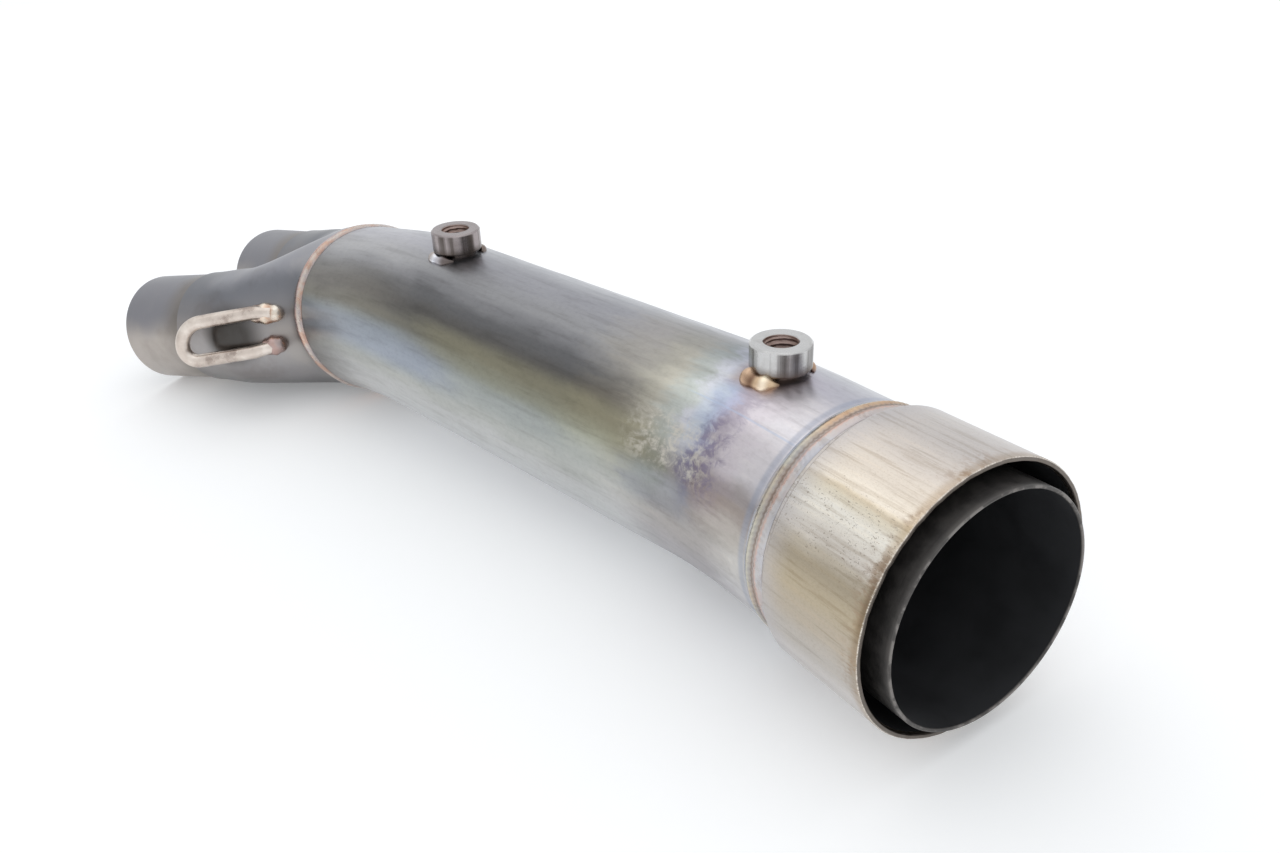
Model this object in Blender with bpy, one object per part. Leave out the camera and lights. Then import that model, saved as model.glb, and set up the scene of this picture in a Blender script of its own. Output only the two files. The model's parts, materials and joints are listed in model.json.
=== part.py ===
"""Exhaust header pipe: two inlets merge into one tube that ends in a necked socket.

The part lies as it comes to rest: on the socket's underside and on both inlet mouths.
X runs from the outlet towards the inlets, +Y is the side of the near inlet, Z is up.
Sizes are in metres and angles in degrees.
"""
import math

import bmesh
import bpy
from mathutils import Matrix, Vector
from mathutils.bvhtree import BVHTree

# Driving sizes of the tubes
TUBE_R = 0.0270
TUBE_WALL = 0.0015
SHELL_WALL = 0.0012
STUB_R = 0.0184
STUB_WALL = 0.0015
BEND_RADIUS = 0.110
GAP = 0.0003
CUT_OVERRUN = 0.004

# Centre line, from the outlet rim to the collector's weld
OUTLET_HEADING = -13.25
OUTLET_CLIMB = -1.40
OUTLET_LENGTH = 0.0625
MIDDLE_HEADING = 0.0
MIDDLE_CLIMB = 2.55
MIDDLE_LENGTH = 0.1332
INNER_HEADING = -4.25
INNER_CLIMB = -8.45
INNER_LENGTH = 0.03775

# Merge collector and its two branches
PAIR_HEADING = 10.75
PAIR_CLIMB = -6.80
PAIR_SPREAD = 6.5
BRANCH_CLEARANCE = 0.00385
MERGE_LENGTH = 0.040
MERGE_PULL = 0.30
BRANCH_END = 0.0585
STUB_OVERLAP = 0.010
MOUTH_END = 0.0880
STUB_EDGE = 0.000375
HALF_SPLIT = 0.00005

# Outlet socket and the sleeve inside it
SOCKET_R = 0.0292
SOCKET_STRAIGHT = 0.0262
SOCKET_LENGTH = 0.0320
NECK_LENGTH = 0.0008
SOCKET_EDGE = 0.00036
SLEEVE_WALL = 0.0008
SLEEVE_PROUD = 0.0036
SLEEVE_REACH = 0.0150
LIP_ROUND = 0.00035

# Ring welds
WELD_WIDTH = 0.0046
WELD_CROWN = 0.0006

# Threaded bosses
BOSS_R = 0.00685
BOSS_TOP = 0.0069
BOSS_BASE = 0.0009
BOSS_EDGE = 0.00045
BOSS_PILOT_R = 0.0052
BOSS_PILOT_DEPTH = 0.0009
BOSS_BORE_R = 0.0034
BOSS_MOUTH_R = 0.0040
FRONT_BOSS_DISTANCE = 0.0582
FRONT_BOSS_LEAN = 4.5
REAR_BOSS_DISTANCE = 0.11265
REAR_BOSS_LEAN = 3.35
BOSS_WELD_NEAR_R = 0.0026
BOSS_WELD_FAR_R = 0.0016
BOSS_WELD_SWEEP = 50.0
BOSS_WELD_TIP = 0.45

# Spring hooks
ROD_R = 0.00225
HOOK_RISE = 0.0060
HOOK_UPPER_ROUND = 0.0085
HOOK_LOWER_ROUND = 0.0045
HOOK_BEND_ROUND = 0.0060
HOOK_UPPER_FOOT = (0.0190, 24.5)
HOOK_UPPER_BEND = (0.0245, 28.0)
HOOK_UPPER_CORNER = (0.0438, 23.0)
HOOK_LOWER_CORNER = (0.0460, -1.0)
HOOK_LOWER_BEND = (0.0265, -5.2)
HOOK_LOWER_FOOT = (0.0210, -4.5)
HOOK_WELD_LENGTH = 0.0038
HOOK_WELD_WIDTH = 0.0045
HOOK_WELD_HEIGHT = 0.0027
HOOK_WELD_LIFT = 0.00135

# Facets
TUBE_SIDES = 48
STUB_SIDES = 40
BOSS_SIDES = 32
ROD_SIDES = 10
BEAD_SIDES = 12
BEAD_RINGS = 8
BEND_STEPS = 6
MERGE_STEPS = 10
SHOULDER_STEPS = 5
LIP_STEPS = 3
CROWN_STEPS = 6
HOOK_STEPS = 4
SHARP_ANGLE = 32.0

# Colour, roughness and metallic value of each kind of surface
STEEL = ((0.42, 0.36, 0.31), 0.34, 1.0)
SOCKET_STEEL = ((0.55, 0.48, 0.40), 0.30, 1.0)
SLEEVE_STEEL = ((0.25, 0.24, 0.24), 0.42, 1.0)
COLLECTOR_STEEL = ((0.33, 0.29, 0.26), 0.40, 1.0)
STUB_STEEL = ((0.46, 0.42, 0.38), 0.36, 1.0)
BOSS_STEEL = ((0.60, 0.59, 0.58), 0.28, 1.0)
HOOK_STEEL = ((0.48, 0.38, 0.33), 0.36, 1.0)
WELD_STEEL = ((0.55, 0.44, 0.30), 0.38, 1.0)

BRANCH_R = STUB_R + GAP + SHELL_WALL
PAIR_PITCH = (2.0 * BRANCH_R + BRANCH_CLEARANCE
              - 2.0 * BRANCH_END * math.sin(math.radians(PAIR_SPREAD)))
UP = Vector((0.0, 0.0, 1.0))


def clear_scene():
    """Remove what the start-up file brought."""
    for old in list(bpy.data.objects):
        bpy.data.objects.remove(old, do_unlink=True)


def heading(turn, climb):
    """Unit direction that turns about Z and climbs above the floor, in degrees."""
    turn, climb = math.radians(turn), math.radians(climb)
    return Vector((math.cos(climb) * math.cos(turn),
                   math.cos(climb) * math.sin(turn),
                   math.sin(climb)))


def upright(direction):
    """Side and up vectors square to a direction, the up one as steep as it can be."""
    up = (UP - UP.dot(direction) * direction).normalized()
    return direction.cross(up).normalized(), up


def material(name, finish):
    """Principled material with one colour, roughness and metallic value."""
    colour, roughness, metallic = finish
    made = bpy.data.materials.new(name)
    made.use_nodes = True
    shader = made.node_tree.nodes["Principled BSDF"]
    shader.inputs["Base Color"].default_value = (*colour, 1.0)
    shader.inputs["Roughness"].default_value = roughness
    shader.inputs["Metallic"].default_value = metallic
    return made


def new_object(name, bm, finish=None):
    """Turn a bmesh into a named object with its faces pointing out."""
    bmesh.ops.recalc_face_normals(bm, faces=bm.faces)
    mesh = bpy.data.meshes.new(name)
    bm.to_mesh(mesh)
    bm.free()
    made = bpy.data.objects.new(name, mesh)
    bpy.context.collection.objects.link(made)
    if finish:
        mesh.materials.append(material(name, finish))
    return made


def smooth(made):
    """Shade round faces smooth and keep the real edges sharp."""
    made.data.shade_smooth()
    made.data.set_sharp_from_angle(angle=math.radians(SHARP_ANGLE))


def ring_points(centre, direction, radius, sides):
    """Points of a circle square to a direction."""
    side, up = upright(direction)
    points = []
    for step in range(sides):
        angle = 2.0 * math.pi * step / sides
        points.append(centre + radius * (math.cos(angle) * side + math.sin(angle) * up))
    return points


def bridge(bm, first, second):
    """Quads between two rings with equal numbers of points."""
    count = len(first)
    for step in range(count):
        following = (step + 1) % count
        bm.faces.new((first[step], first[following], second[following], second[step]))


def loop_rings(bm, loops, closed):
    """Bridge a row of rings; a closed row joins its last ring to its first."""
    rings = [[bm.verts.new(point) for point in loop] for loop in loops]
    for first, second in zip(rings, rings[1:]):
        bridge(bm, first, second)
    if closed:
        bridge(bm, rings[-1], rings[0])
    else:
        bm.faces.new(rings[0])
        bm.faces.new(reversed(rings[-1]))


def rod(name, stations, sides, finish=None):
    """Solid sweep through stations of (centre, direction, radius)."""
    bm = bmesh.new()
    loop_rings(bm, [ring_points(*station, sides) for station in stations], closed=False)
    return new_object(name, bm, finish)


def hollow(name, stations, wall, sides, finish=None):
    """Open tube with an even wall through stations of (centre, direction, radius)."""
    outside = [ring_points(*station, sides) for station in stations]
    inside = [ring_points(centre, direction, radius - wall, sides)
              for centre, direction, radius in reversed(stations)]
    bm = bmesh.new()
    loop_rings(bm, outside + inside, closed=True)
    return new_object(name, bm, finish)


def turned(name, profile, origin, axis, sides, finish=None):
    """Revolve a closed profile of (run, radius) points about an axis."""
    loops = [ring_points(origin + run * axis, axis, radius, sides) for run, radius in profile]
    bm = bmesh.new()
    loop_rings(bm, loops, closed=True)
    return new_object(name, bm, finish)


def combine(target, tool, operation):
    """Apply a Boolean to the target and drop the tool."""
    modifier = target.modifiers.new(operation.lower(), "BOOLEAN")
    modifier.operation = operation
    modifier.solver = "EXACT"
    modifier.object = tool
    bpy.context.view_layer.update()
    evaluated = target.evaluated_get(bpy.context.evaluated_depsgraph_get())
    result = bpy.data.meshes.new_from_object(evaluated)
    target.modifiers.clear()
    target.data = result
    bpy.data.objects.remove(tool, do_unlink=True)


def arc(centre, radius, start, stop, steps):
    """Points of an arc in a profile, as (run, radius) pairs, ends included."""
    points = []
    for step in range(steps + 1):
        angle = math.radians(start + (stop - start) * step / steps)
        points.append((centre[0] + radius * math.cos(angle),
                       centre[1] + radius * math.sin(angle)))
    return points


def bend(corner, before, after):
    """Stations of the round bend that replaces a corner of the centre line."""
    turn = before.angle(after)
    tangent = BEND_RADIUS * math.tan(turn / 2.0)
    axis = before.cross(after).normalized()
    inward = axis.cross(before)
    start = corner - tangent * before
    pivot = start + BEND_RADIUS * inward
    stations = []
    for step in range(BEND_STEPS + 1):
        swing = Matrix.Rotation(turn * step / BEND_STEPS, 3, axis)
        stations.append((pivot - BEND_RADIUS * (swing @ inward), swing @ before))
    return stations


class Route:
    """Corner points and directions of the whole centre line."""

    def __init__(self):
        self.outlet = heading(OUTLET_HEADING, OUTLET_CLIMB)
        self.middle = heading(MIDDLE_HEADING, MIDDLE_CLIMB)
        self.inner = heading(INNER_HEADING, INNER_CLIMB)
        self.pair = heading(PAIR_HEADING, PAIR_CLIMB)
        self.rim = Vector((0.0, 0.0, SOCKET_R))
        self.front_corner = self.rim + OUTLET_LENGTH * self.outlet
        self.rear_corner = self.front_corner + MIDDLE_LENGTH * self.middle
        self.merge = self.rear_corner + INNER_LENGTH * self.inner
        self.far_side = Vector((math.sin(math.radians(PAIR_HEADING)),
                                -math.cos(math.radians(PAIR_HEADING)), 0.0))

    def tube(self, start, end):
        """Centres and directions from a run past the rim to a run short of the merge."""
        first = self.rim + start * self.outlet
        last = self.merge - end * self.inner
        return ([(first, self.outlet)]
                + bend(self.front_corner, self.outlet, self.middle)
                + bend(self.rear_corner, self.middle, self.inner)
                + [(last, self.inner)])

    def branch(self, far):
        """Start and direction of a branch's axis; far is +1 or -1."""
        spread = math.radians(PAIR_SPREAD)
        start = self.merge + far * 0.5 * PAIR_PITCH * self.far_side
        direction = math.cos(spread) * self.pair + far * math.sin(spread) * self.far_side
        return start, direction.normalized()


def ease(share):
    """Smooth step from 0 to 1."""
    return share * share * (3.0 - 2.0 * share)


def merge_stations(route, far, shrink, overrun):
    """Stations of one half of the collector: from the tube's circle to a straight branch."""
    start, direction = route.branch(far)
    edge = 0.5 * WELD_WIDTH + GAP
    begin = route.merge + edge * route.inner + far * HALF_SPLIT * route.far_side
    finish = start + MERGE_LENGTH * direction
    pull = MERGE_PULL * MERGE_LENGTH
    handles = (begin, begin + pull * route.inner, finish - pull * direction, finish)
    stations = []
    if overrun:
        stations.append((begin - overrun * route.inner, route.inner, TUBE_R - shrink))
    for step in range(MERGE_STEPS + 1):
        share = step / MERGE_STEPS
        rest = 1.0 - share
        centre = (rest ** 3 * handles[0] + 3 * rest * rest * share * handles[1]
                  + 3 * rest * share * share * handles[2] + share ** 3 * handles[3])
        facing = (rest * route.inner + share * direction).normalized()
        radius = TUBE_R + (BRANCH_R - TUBE_R) * ease(share)
        stations.append((centre, facing, radius - shrink))
    stations.append((start + (BRANCH_END + overrun) * direction, direction, BRANCH_R - shrink))
    return stations


def merge_solid(name, route, shrink, overrun):
    """Solid of both branches run together; overrun lengthens its open ends."""
    near, far = [rod(name, merge_stations(route, side, shrink, overrun), TUBE_SIDES)
                 for side in (-1, 1)]
    combine(near, far, "UNION")
    return near


def collector_shell(route):
    """Hollow merge shell: one throat that splits at a knife edge into two branches."""
    shell = merge_solid("collector_shell", route, 0.0, 0.0)
    bore = merge_solid("collector_bore", route, SHELL_WALL, CUT_OVERRUN)
    combine(shell, bore, "DIFFERENCE")
    shell.data.materials.clear()
    shell.data.materials.append(material("collector_shell", COLLECTOR_STEEL))
    return shell


def main_tube(route):
    """Bent tube between the two ring welds."""
    trim = 0.5 * WELD_WIDTH + GAP
    stations = [(centre, direction, TUBE_R)
                for centre, direction in route.tube(SOCKET_LENGTH + trim, trim)]
    return hollow("main_tube", stations, TUBE_WALL, TUBE_SIDES, STEEL)


def inlet(name, route, far):
    """Straight slip stub, pushed into a branch and cut square at its mouth."""
    start, direction = route.branch(far)
    profile = [(BRANCH_END - STUB_OVERLAP, STUB_R),
               (MOUTH_END - STUB_EDGE, STUB_R),
               (MOUTH_END, STUB_R - STUB_EDGE),
               (MOUTH_END, STUB_R - STUB_WALL + STUB_EDGE),
               (MOUTH_END - STUB_EDGE, STUB_R - STUB_WALL),
               (BRANCH_END - STUB_OVERLAP, STUB_R - STUB_WALL)]
    return turned(name, profile, start, direction, STUB_SIDES, STUB_STEEL)


def outlet_socket(route):
    """Expanded shell with a thin rim and a round shoulder down to the tube's size."""
    neck_end = SOCKET_LENGTH - 0.5 * WELD_WIDTH - GAP
    shoulder = neck_end - NECK_LENGTH - SOCKET_STRAIGHT
    drop = SOCKET_R - TUBE_R
    outside = [(0.0, SOCKET_R - SOCKET_EDGE), (SOCKET_EDGE, SOCKET_R)]
    inside = [(neck_end, TUBE_R - SHELL_WALL)]
    for step in range(SHOULDER_STEPS + 1):
        share = step / SHOULDER_STEPS
        outside.append((SOCKET_STRAIGHT + share * shoulder, SOCKET_R - drop * ease(share)))
        inside.append((SOCKET_STRAIGHT + (1.0 - share) * shoulder,
                       TUBE_R - SHELL_WALL + drop * ease(share)))
    outside.append((neck_end, TUBE_R))
    inside.append((SOCKET_EDGE, SOCKET_R - SHELL_WALL))
    inside.append((0.0, SOCKET_R - SHELL_WALL + SOCKET_EDGE))
    return turned("outlet_socket", outside + inside, route.rim, route.outlet,
                  TUBE_SIDES, SOCKET_STEEL)


def inner_sleeve(route):
    """Thin sleeve in the tube's end; its rounded lip stands out past the socket's rim."""
    outer = TUBE_R - TUBE_WALL - GAP
    inner = outer - SLEEVE_WALL
    end = SOCKET_LENGTH + SLEEVE_REACH
    round_middle = LIP_ROUND - SLEEVE_PROUD
    lip = arc((round_middle, outer - LIP_ROUND), LIP_ROUND, 90.0, 180.0, LIP_STEPS)
    back = arc((round_middle, inner + LIP_ROUND), LIP_ROUND, 180.0, 270.0, LIP_STEPS)
    profile = [(end, inner), (end, outer)] + lip + back
    return turned("inner_sleeve", profile, route.rim, route.outlet, TUBE_SIDES, SLEEVE_STEEL)


def ring_weld(name, centre, axis):
    """Full-depth ring bead that fills the groove between two butted ends."""
    half = 0.5 * WELD_WIDTH
    root = TUBE_R - TUBE_WALL
    edge = TUBE_R - GAP
    crown = []
    for step in range(CROWN_STEPS + 1):
        angle = math.pi * step / CROWN_STEPS
        crown.append((half * math.cos(angle), edge + (WELD_CROWN + GAP) * math.sin(angle)))
    profile = [(-half, root), (half, root)] + crown
    return turned(name, profile, centre, axis, TUBE_SIDES, WELD_STEEL)


def tube_cutter(route, clearance):
    """Solid of the main tube's outside, grown by a clearance."""
    stations = [(centre, direction, TUBE_R + clearance)
                for centre, direction in route.tube(SOCKET_LENGTH, 0.0)]
    return rod("tube_cutter", stations, TUBE_SIDES)


def lean_up(direction, lean):
    """Up vector of a tube, leaned about the tube's axis."""
    side, up = upright(direction)
    lean = math.radians(lean)
    return math.cos(lean) * up + math.sin(lean) * side


def boss(name, route, foot, run, lean):
    """Turned boss with a bored hole, on a short pilot cut to the tube's curve."""
    axis = lean_up(run, lean)
    base = TUBE_R + BOSS_BASE
    top = TUBE_R + BOSS_TOP
    mouth = BOSS_MOUTH_R - BOSS_BORE_R
    foot_end = TUBE_R - BOSS_PILOT_DEPTH
    profile = [(foot_end, BOSS_BORE_R),
               (foot_end, BOSS_PILOT_R),
               (base, BOSS_PILOT_R),
               (base, BOSS_R - BOSS_EDGE),
               (base + BOSS_EDGE, BOSS_R),
               (top - BOSS_EDGE, BOSS_R),
               (top, BOSS_R - BOSS_EDGE),
               (top, BOSS_MOUTH_R),
               (top - mouth, BOSS_BORE_R)]
    made = turned(name, profile, foot, axis, BOSS_SIDES, BOSS_STEEL)
    combine(made, tube_cutter(route, GAP), "DIFFERENCE")
    return made


def boss_weld(name, route, foot, run, lean, side, radius):
    """Fillet bead along one side of a boss; side is +1 for the near side, -1 for the far."""
    axis = lean_up(run, lean)
    across = side * axis.cross(run).normalized()
    along = across.cross(axis)
    stations = []
    for step in range(BEAD_RINGS + 1):
        share = 2.0 * step / BEAD_RINGS - 1.0
        angle = math.radians(BOSS_WELD_SWEEP * share)
        sideways = BOSS_R * math.cos(angle)
        height = math.sqrt(TUBE_R * TUBE_R - sideways * sideways)
        centre = foot + height * axis + sideways * across + BOSS_R * math.sin(angle) * along
        tangent = (math.cos(angle) * along - math.sin(angle) * across).normalized()
        swell = (1.0 - BOSS_WELD_TIP) * math.sqrt(1.0 - share * share)
        thick = radius * (BOSS_WELD_TIP + swell)
        stations.append((centre, tangent, thick))
    made = rod(name, stations, BEAD_SIDES, WELD_STEEL)
    core_ends = [(foot + run_up * axis, axis, BOSS_R + GAP)
                 for run_up in (TUBE_R - BOSS_R, TUBE_R + BOSS_TOP)]
    core = rod("boss_core", core_ends, BOSS_SIDES)
    combine(made, core, "DIFFERENCE")
    combine(made, tube_cutter(route, GAP), "DIFFERENCE")
    return made


def rounded_path(corners, radii, steps):
    """Points along a path whose inner corners are rounded with the given radii."""
    points = [corners[0]]
    for before, corner, after, radius in zip(corners, corners[1:], corners[2:], radii):
        arriving = (corner - before).normalized()
        leaving = (after - corner).normalized()
        turn = arriving.angle(leaving)
        tangent = radius * math.tan(turn / 2.0)
        axis = arriving.cross(leaving).normalized()
        start = corner - tangent * arriving
        pivot = start + radius * axis.cross(arriving)
        for step in range(steps + 1):
            swing = Matrix.Rotation(turn * step / steps, 3, axis)
            points.append(pivot + swing @ (start - pivot))
    points.append(corners[-1])
    return points


def follow(points):
    """Directions along a path, each the mean of its two neighbours."""
    directions = []
    for index in range(len(points)):
        before = points[max(index - 1, 0)]
        after = points[min(index + 1, len(points) - 1)]
        directions.append((after - before).normalized())
    return directions


def bent_rod(name, points, radius, finish=None):
    """Round rod along a path, its rings turned with the path so that it never twists."""
    directions = follow(points)
    side = directions[0].orthogonal().normalized()
    loops = []
    for centre, direction in zip(points, directions):
        side = (side - side.dot(direction) * direction).normalized()
        other = direction.cross(side)
        loops.append([centre + radius * (math.cos(2.0 * math.pi * step / ROD_SIDES) * side
                                         + math.sin(2.0 * math.pi * step / ROD_SIDES) * other)
                      for step in range(ROD_SIDES)])
    bm = bmesh.new()
    loop_rings(bm, loops, closed=False)
    return new_object(name, bm, finish)


class HookPlace:
    """Where a hook's rod runs over the outer side of one branch."""

    def __init__(self, route, far):
        self.start, self.axis = route.branch(far)
        self.out = far * route.far_side
        self.out = (self.out - self.out.dot(self.axis) * self.axis).normalized()
        self.up = self.axis.cross(self.out) * far
        if self.up.z < 0.0:
            self.up = -self.up
        self.stations = merge_stations(route, far, 0.0, 0.0)
        half = rod("half_skin", self.stations, TUBE_SIDES)
        self.skin = BVHTree.FromPolygons([vertex.co for vertex in half.data.vertices],
                                         [polygon.vertices for polygon in half.data.polygons])
        bpy.data.objects.remove(half, do_unlink=True)

    def middle(self, run):
        """Point on the half's centre line at a run along the branch's axis."""
        runs = [(centre - self.start).dot(self.axis) for centre, _, _ in self.stations]
        for index in range(len(runs) - 2, -1, -1):
            if runs[index] <= run or index == 0:
                share = (run - runs[index]) / (runs[index + 1] - runs[index])
                return self.stations[index][0].lerp(self.stations[index + 1][0], share)

    def on_skin(self, run, angle, lift):
        """Point at a height over the shell, seen from the middle of that half."""
        angle = math.radians(angle)
        ray = math.cos(angle) * self.out + math.sin(angle) * self.up
        origin = self.middle(run)
        outside = origin + 3.0 * TUBE_R * ray
        hit, normal, _, _ = self.skin.ray_cast(outside, -ray)
        return hit + lift * normal, normal

    def path(self):
        """Rod's centre line: two welded legs and a raised closed end."""
        seat = ROD_R + GAP
        corners = ((HOOK_UPPER_FOOT, 0.0), (HOOK_UPPER_BEND, 0.0),
                   (HOOK_UPPER_CORNER, HOOK_RISE), (HOOK_LOWER_CORNER, HOOK_RISE),
                   (HOOK_LOWER_BEND, 0.0), (HOOK_LOWER_FOOT, 0.0))
        points = [self.on_skin(*corner, seat + rise)[0] for corner, rise in corners]
        rounds = (HOOK_BEND_ROUND, HOOK_UPPER_ROUND, HOOK_LOWER_ROUND, HOOK_BEND_ROUND)
        return rounded_path(points, rounds, HOOK_STEPS)


def hook_weld(name, route, place, foot, path):
    """Bead at the foot of a hook's leg, clear of the rod and of the shell by a hair."""
    centre, normal = place.on_skin(*foot, HOOK_WELD_LIFT)
    bm = bmesh.new()
    bmesh.ops.create_uvsphere(bm, u_segments=BEAD_SIDES, v_segments=BEAD_RINGS, radius=1.0)
    along = (place.axis - place.axis.dot(normal) * normal).normalized()
    across = normal.cross(along)
    frame = Matrix((along * HOOK_WELD_LENGTH, across * HOOK_WELD_WIDTH,
                    normal * HOOK_WELD_HEIGHT)).transposed()
    bmesh.ops.transform(bm, matrix=Matrix.Translation(centre) @ frame.to_4x4(), verts=bm.verts)
    made = new_object(name, bm, WELD_STEEL)
    combine(made, merge_solid("shell_cutter", route, -GAP, CUT_OVERRUN), "DIFFERENCE")
    combine(made, bent_rod("rod_cutter", path, ROD_R + GAP), "DIFFERENCE")
    return made


def hooks(route):
    """Both spring hooks with the beads at their feet."""
    for label, far in (("near", -1), ("far", 1)):
        place = HookPlace(route, far)
        path = place.path()
        hook = bent_rod(f"{label}_hook", path, ROD_R, HOOK_STEEL)
        combine(hook, merge_solid("shell_cutter", route, -GAP, CUT_OVERRUN), "DIFFERENCE")
        hook_weld(f"{label}_hook_weld_upper", route, place, HOOK_UPPER_FOOT, path)
        hook_weld(f"{label}_hook_weld_lower", route, place, HOOK_LOWER_FOOT, path)


def bosses(route):
    """Both threaded bosses with their beads."""
    front_run = (route.outlet + route.middle).normalized()
    front_foot = route.rim + FRONT_BOSS_DISTANCE * route.outlet
    rear_foot = route.front_corner + REAR_BOSS_DISTANCE * route.middle
    places = (("front_boss", front_foot, front_run, FRONT_BOSS_LEAN),
              ("rear_boss", rear_foot, route.middle, REAR_BOSS_LEAN))
    for name, foot, run, lean in places:
        boss(name, route, foot, run, lean)
        boss_weld(f"{name}_weld_near", route, foot, run, lean, 1, BOSS_WELD_NEAR_R)
        boss_weld(f"{name}_weld_far", route, foot, run, lean, -1, BOSS_WELD_FAR_R)


def seat_on_origin():
    """Move the whole part so that the origin is under its middle, at floor height."""
    meshes = [made.data for made in bpy.data.objects]
    corners = [vertex.co for mesh in meshes for vertex in mesh.vertices]
    low = Vector(min(corner[axis] for corner in corners) for axis in range(3))
    high = Vector(max(corner[axis] for corner in corners) for axis in range(3))
    shift = Vector((-0.5 * (low.x + high.x), -0.5 * (low.y + high.y), -low.z))
    for mesh in meshes:
        mesh.transform(Matrix.Translation(shift))


def build():
    """Make every piece of the pipe."""
    clear_scene()
    route = Route()
    main_tube(route)
    collector_shell(route)
    inlet("near_inlet", route, -1)
    inlet("far_inlet", route, 1)
    outlet_socket(route)
    inner_sleeve(route)
    ring_weld("socket_weld", route.rim + SOCKET_LENGTH * route.outlet, route.outlet)
    ring_weld("collector_weld", route.merge, route.inner)
    bosses(route)
    hooks(route)
    seat_on_origin()
    for made in bpy.data.objects:
        smooth(made)


build()
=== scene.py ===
"""Looks of the exhaust header pipe: dressed pieces, materials, studio and camera.

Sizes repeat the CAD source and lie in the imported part's frame. Lengths are in metres
and angles in degrees, but the surface coordinates that materials read are millimetres.
"""

import json
import math

import bmesh
import bpy
import numpy as np
from mathutils import Matrix, Vector
from mathutils.bvhtree import BVHTree

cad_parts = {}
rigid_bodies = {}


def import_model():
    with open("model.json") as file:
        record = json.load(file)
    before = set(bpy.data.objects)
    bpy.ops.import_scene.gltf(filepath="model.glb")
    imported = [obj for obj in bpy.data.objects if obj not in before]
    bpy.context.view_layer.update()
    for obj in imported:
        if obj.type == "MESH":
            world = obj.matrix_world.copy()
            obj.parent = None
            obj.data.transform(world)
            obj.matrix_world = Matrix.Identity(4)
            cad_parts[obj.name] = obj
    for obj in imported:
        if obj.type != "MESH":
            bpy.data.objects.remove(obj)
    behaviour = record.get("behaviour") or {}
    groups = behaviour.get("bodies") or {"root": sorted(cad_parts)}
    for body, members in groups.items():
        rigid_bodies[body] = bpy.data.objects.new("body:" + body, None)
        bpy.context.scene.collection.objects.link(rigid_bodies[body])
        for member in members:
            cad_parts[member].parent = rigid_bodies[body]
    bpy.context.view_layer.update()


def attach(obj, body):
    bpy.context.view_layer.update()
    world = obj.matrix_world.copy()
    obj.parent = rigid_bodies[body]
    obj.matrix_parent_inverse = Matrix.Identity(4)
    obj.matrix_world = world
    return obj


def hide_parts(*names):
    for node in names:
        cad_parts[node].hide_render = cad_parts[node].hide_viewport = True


# Camera, with its focus and the photograph's width in pixels
PHOTO_WIDE = 1280
CAMERA_FOCUS = 1033.0
CAMERA_PLACE = (-0.226846, 0.147319, 0.159332)
CAMERA_YAW = -41.673
CAMERA_PITCH = 30.03
CAMERA_ROLL = -7.178
SENSOR_WIDE = 36.0

# Sky: its level, and the low dimmer part on one side
SKY_LEVEL = 0.92
DIM_HEADING = 42.0
DIM_CLIMB = 2.0
DIM_INNER = 0.95
DIM_OUTER = 0.6
DIM_SHARE = 0.14
SKY_COLOUR = (0.97, 0.985, 1.0)

# Lamp overhead
LAMP_PLACE = (0.1, -0.3, 1.6)
LAMP_SIZE = 2.0
LAMP_POWER = 3.5

# Table, with a glow that only camera, glossy and transmission rays see
FLOOR_SIZE = 4.0
FLOOR_COLOUR = (0.92, 0.925, 0.93)
FLOOR_GLOW = 0.17
GLOW_COLOUR = (0.98, 0.99, 1.0)

# Points round a ring
TUBE_SIDES = 176
SOCKET_SIDES = 200
WELD_SIDES = 640
STUB_SIDES = 120
COLLECTOR_SIDES = 128
BOSS_SIDES = 96
ROD_SIDES = 28
DAB_SIDES = 64
ARC_SIDES = 40

# Tubes
RIM_CENTRE = (-0.1571868, 0.0086018, 0.0298314)
TUBE_R = 0.027
TUBE_WALL = 0.0015
SHELL_WALL = 0.0012
STUB_R = 0.0184
STUB_WALL = 0.0015
STUB_SKIN = 0.00002
MOUTH_ROUND = 0.0005
MOUTH_BEVEL = 0.0003
BEND_RADIUS = 0.11
GAP = 0.0003
WAVE_FADE = 0.004
OUTLET_HEADING = -13.25
OUTLET_CLIMB = -1.4
OUTLET_LENGTH = 0.0625
MIDDLE_HEADING = 0.0
MIDDLE_CLIMB = 2.55
MIDDLE_LENGTH = 0.1332
INNER_HEADING = -4.25
INNER_CLIMB = -8.45
INNER_LENGTH = 0.03775

# Merge collector
PAIR_HEADING = 10.75
PAIR_CLIMB = -6.8
PAIR_SPREAD = 6.5
BRANCH_CLEARANCE = 0.00385
MERGE_LENGTH = 0.04
MERGE_PULL = 0.3
BRANCH_END = 0.0585
STUB_OVERLAP = 0.01
MOUTH_END = 0.088
HALF_SPLIT = 0.00005
END_TAPER = 0.0009
BORE_OVERRUN = 0.004

# Socket and sleeve
SOCKET_R = 0.0292
SOCKET_STRAIGHT = 0.0262
SOCKET_LENGTH = 0.032
NECK_LENGTH = 0.0008
SLEEVE_WALL = 0.0008
SLEEVE_PROUD = 0.0036
SLEEVE_REACH = 0.015
SLEEVE_DENSE = 0.03
RIM_ROUND = 0.00042
RIM_WEAR = 0.00006
RIM_WEAR_REACH = 0.0009
SOCKET_WAVE = 0.00002

# Ring welds
WELD_WIDTH = 0.0046
WELD_EDGE = 0.5 * WELD_WIDTH + GAP
RIPPLE_PITCH = 0.00135
RIPPLE_HEIGHT = 0.00006
BEAD_ARCH = 0.0001
BEAD_SEAT = 0.00003
BEAD_DRIFT = 0.0001

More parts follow.
